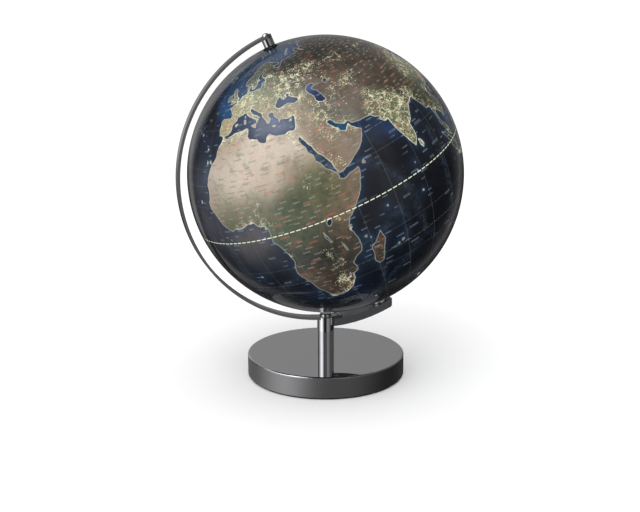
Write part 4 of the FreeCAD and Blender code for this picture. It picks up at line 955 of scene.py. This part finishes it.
class GLOBE_OT_small_parts(bpy.types.Operator):
    """Give every carried-over part its own material"""
    bl_idname = "globe.small_parts"
    bl_label = "Small Parts"

    def execute(self, context):
        zinc = chrome("zinc plated steel", (0.70, 0.70, 0.68), 0.26)
        for node in ("base_screws", "tie_bolt", "tie_washer", "housing_screws", "cover_screw", "neck_screws",
                     "inlet_nut", "north_clip", "south_clip"):
            give(node, zinc)
        # Node, finish, colour, roughness, size of the grain in mm, its depth, and its tint unless dark.
        for node, name, tone, rough, grain, depth, tint in (
                ("base_plate", "powder coat", (0.09, 0.09, 0.095), 0.55, 0.7, 0.6, None),
                ("foot_pad", "foot pad rubber", (0.07, 0.07, 0.07), 0.8, 0.5, 0.4, None),
                ("power_inlet", "inlet plastic", (0.05, 0.05, 0.055), 0.42, 0.5, 0.2, None),
                ("equator_ring", "white plastic", (0.86, 0.86, 0.84), 0.5, 0.9, 0.15, (0.80, 0.79, 0.75)),
                ("lamp_holder", "holder ceramic", (0.90, 0.89, 0.86), 0.3, 1.2, 0.1, (0.82, 0.80, 0.76)),
                ("bulb_base", "bulb enamel", (0.88, 0.88, 0.89), 0.3, 1.0, 0.1, (0.80, 0.80, 0.81)),
                ("bulb_dome", "frosted bulb", (0.95, 0.94, 0.90), 0.4, 0.6, 0.1, (0.90, 0.88, 0.82)),
                ("lamp_lead", "lead sheath", (0.07, 0.07, 0.07), 0.55, 0.5, 0.2, None)):
            give(node, plain(name, tone, rough, grain * MM, depth, tint=tint))
        give("base_weight", plain("cast weight", (0.24, 0.24, 0.25), 0.6, 1.6 * MM, 0.8, metallic=0.8))
        bush = plain("bush plastic", (0.12, 0.12, 0.13), 0.36, 0.6 * MM, 0.2)
        give("north_bush", bush)
        give("south_bush", bush)
        return {"FINISHED"}


# ---- stage ---------------------------------------------------------------------------------------

FLOOR_R = 40
SENSOR = 36                 # mm
KEY_PLACE = Vector((-0.9, -1.2, 2.0))
KEY_SIZE = 1.6

# What polished metal sees round the studio: degrees from the camera's side, growing to the camera's right, and
# brightness.
PANELS = [
    (-180, .26), (-162, .27), (-158, .36), (-150, .55), (-143, .34), (-137, .05), (-120, .06), (-106, .13),
    (-87, .48), (-70, 1.15), (-55, 1.45), (-41, .85), (-27, .10), (-15, .004), (0, .01), (12, .11), (25, .28),
    (38, .23), (52, .16), (67, .06), (83, .015), (102, .006), (125, .02), (136, .10), (144, .22), (152, .15),
    (160, .22), (180, .26),
]


def place_looking(scene, name, data, place, towards):
    """An object that looks along a direction."""
    item = bpy.data.objects.new(name, data)
    item.location = place
    item.rotation_mode = "QUATERNION"
    item.rotation_quaternion = towards.to_track_quat("-Z", "Y")
    scene.collection.objects.link(item)
    return item


def studio_world(azimuth, dome):
    """An even dome that lights the scene; polished surfaces see panels instead, turned with the camera."""
    world = bpy.data.worlds.new("studio")
    world.use_nodes = True
    world.cycles.sampling_method = "NONE"
    f = Tree(world.node_tree)
    ray = f.add("TexCoord").outputs["Generated"]
    ray = f.add("Mapping", {"Vector": ray, "Rotation": (0, 0, -azimuth)}).outputs[0]
    x, y, z = f.add("SeparateXYZ", {0: ray}).outputs
    turn = f.math("ARCTAN2", x, f.times(y, -1.0))
    turn = f.math("MULTIPLY_ADD", turn, 1 / (2 * math.pi), 0.5)
    panels = f.ramp(turn, [((angle + 180) / 360, value) for angle, value in PANELS], convert=tuple)

    high = f.between(z, 0.70, 0.95, 1.0, 0.45)
    low = f.between(z, -0.95, -0.40, 0.15, 1.0)
    behind = f.between(f.apart(turn, 0.5), 0.40, 0.44)
    below = f.between(z, -0.14, -0.05, 0.85, 0)
    low = f.times(low, f.math("SUBTRACT", 1.0, f.times(behind, below)))
    overhead = f.times(f.between(turn, 0.13, 0.18), f.between(turn, 0.34, 0.40, 1, 0))
    overhead = f.times(overhead, f.between(z, 0.55, 0.66), 1.3)
    seen = f.math("ADD", f.times(panels, high, low), overhead)
    seen = f.math("MAXIMUM", seen, f.between(z, 0.0, 0.15, 0, 0.09))
    glossy = f.add("LightPath").outputs["Is Glossy Ray"]
    f.feed(f.nodes["Background"], {"Color": f.mix(glossy, (dome, dome, dome), seen)})
    return world


class GLOBE_OT_stage(bpy.types.Operator):
    """Make the floor, the studio light and the camera"""
    bl_idname = "globe.stage"
    bl_label = "Studio"

    def execute(self, context):
        scene = context.scene
        s = scene.globe_stage
        level = math.cos(s.elevation)
        back = Vector((math.sin(s.azimuth) * level, -math.cos(s.azimuth) * level, math.sin(s.elevation)))
        camera = place_looking(scene, "camera", bpy.data.cameras.new("camera"),
                               Vector(s.target) + back * s.distance, -back)
        camera.rotation_quaternion = camera.rotation_quaternion @ Quaternion((0, 0, 1), -s.roll)
        camera.data.lens, camera.data.sensor_width = s.lens, SENSOR
        camera.data.clip_start, camera.data.clip_end = 0.05, 5 * FLOOR_R
        scene.camera = camera
        scene.view_settings.view_transform = "Standard"

        bm = bmesh.new()
        bmesh.ops.create_circle(bm, cap_ends=True, segments=96, radius=FLOOR_R)
        mesh = bpy.data.meshes.new("floor")
        bm.to_mesh(mesh)
        bm.free()
        floor = bpy.data.objects.new("floor", mesh)
        paper = Finish("floor paper", Roughness=0.9, Specular_IOR_Level=0.0)
        grain = paper.noise(paper.place(), 0.03, 3, 0.5)
        mesh.materials.append(paper.set(Base_Color=paper.mix(grain, linear(s.floor), darker(s.floor, 0.99))))
        floor.visible_glossy = False
        scene.collection.objects.link(floor)

        light = bpy.data.lights.new("key light", "AREA")
        light.shape, light.size, light.energy = "DISK", KEY_SIZE, s.key
        key = place_looking(scene, "key light", light, KEY_PLACE, CENTRE - KEY_PLACE)
        key.visible_glossy = False

        scene.world = studio_world(s.azimuth, s.dome)
        return {"FINISHED"}


class GLOBE_PT_panel(bpy.types.Panel):
    """Buttons for each piece, and the settings"""
    bl_label = "Desktop Globe"
    bl_idname = "GLOBE_PT_panel"
    bl_space_type = "VIEW_3D"
    bl_region_type = "UI"
    bl_category = "Globe"

    def draw(self, context):
        for operator in OPERATORS:
            self.layout.operator(operator.bl_idname)
        for name in GROUPS:
            group = getattr(context.scene, name)
            for key in group.__annotations__:
                self.layout.prop(group, key)


OPERATORS = (GLOBE_OT_stage, GLOBE_OT_ball, GLOBE_OT_base, GLOBE_OT_arm, GLOBE_OT_housing, GLOBE_OT_pivots,
             GLOBE_OT_small_parts)
GROUPS = {"globe_map": MapSettings, "globe_stand": StandSettings, "globe_stage": StageSettings}


def register():
    for name, group in GROUPS.items():
        bpy.utils.register_class(group)
        setattr(bpy.types.Scene, name, PointerProperty(type=group))
    for item in (*OPERATORS, GLOBE_PT_panel):
        bpy.utils.register_class(item)


def unregister():
    for item in (GLOBE_PT_panel, *reversed(OPERATORS)):
        bpy.utils.unregister_class(item)
    for name, group in GROUPS.items():
        delattr(bpy.types.Scene, name)
        bpy.utils.unregister_class(group)


def main():
    register()
    bpy.ops.globe.stage()
    bpy.ops.globe.ball()
    bpy.ops.globe.base()
    bpy.ops.globe.arm()
    bpy.ops.globe.housing()
    bpy.ops.globe.pivots()
    bpy.ops.globe.small_parts()


if __name__ == "__main__":
    main()
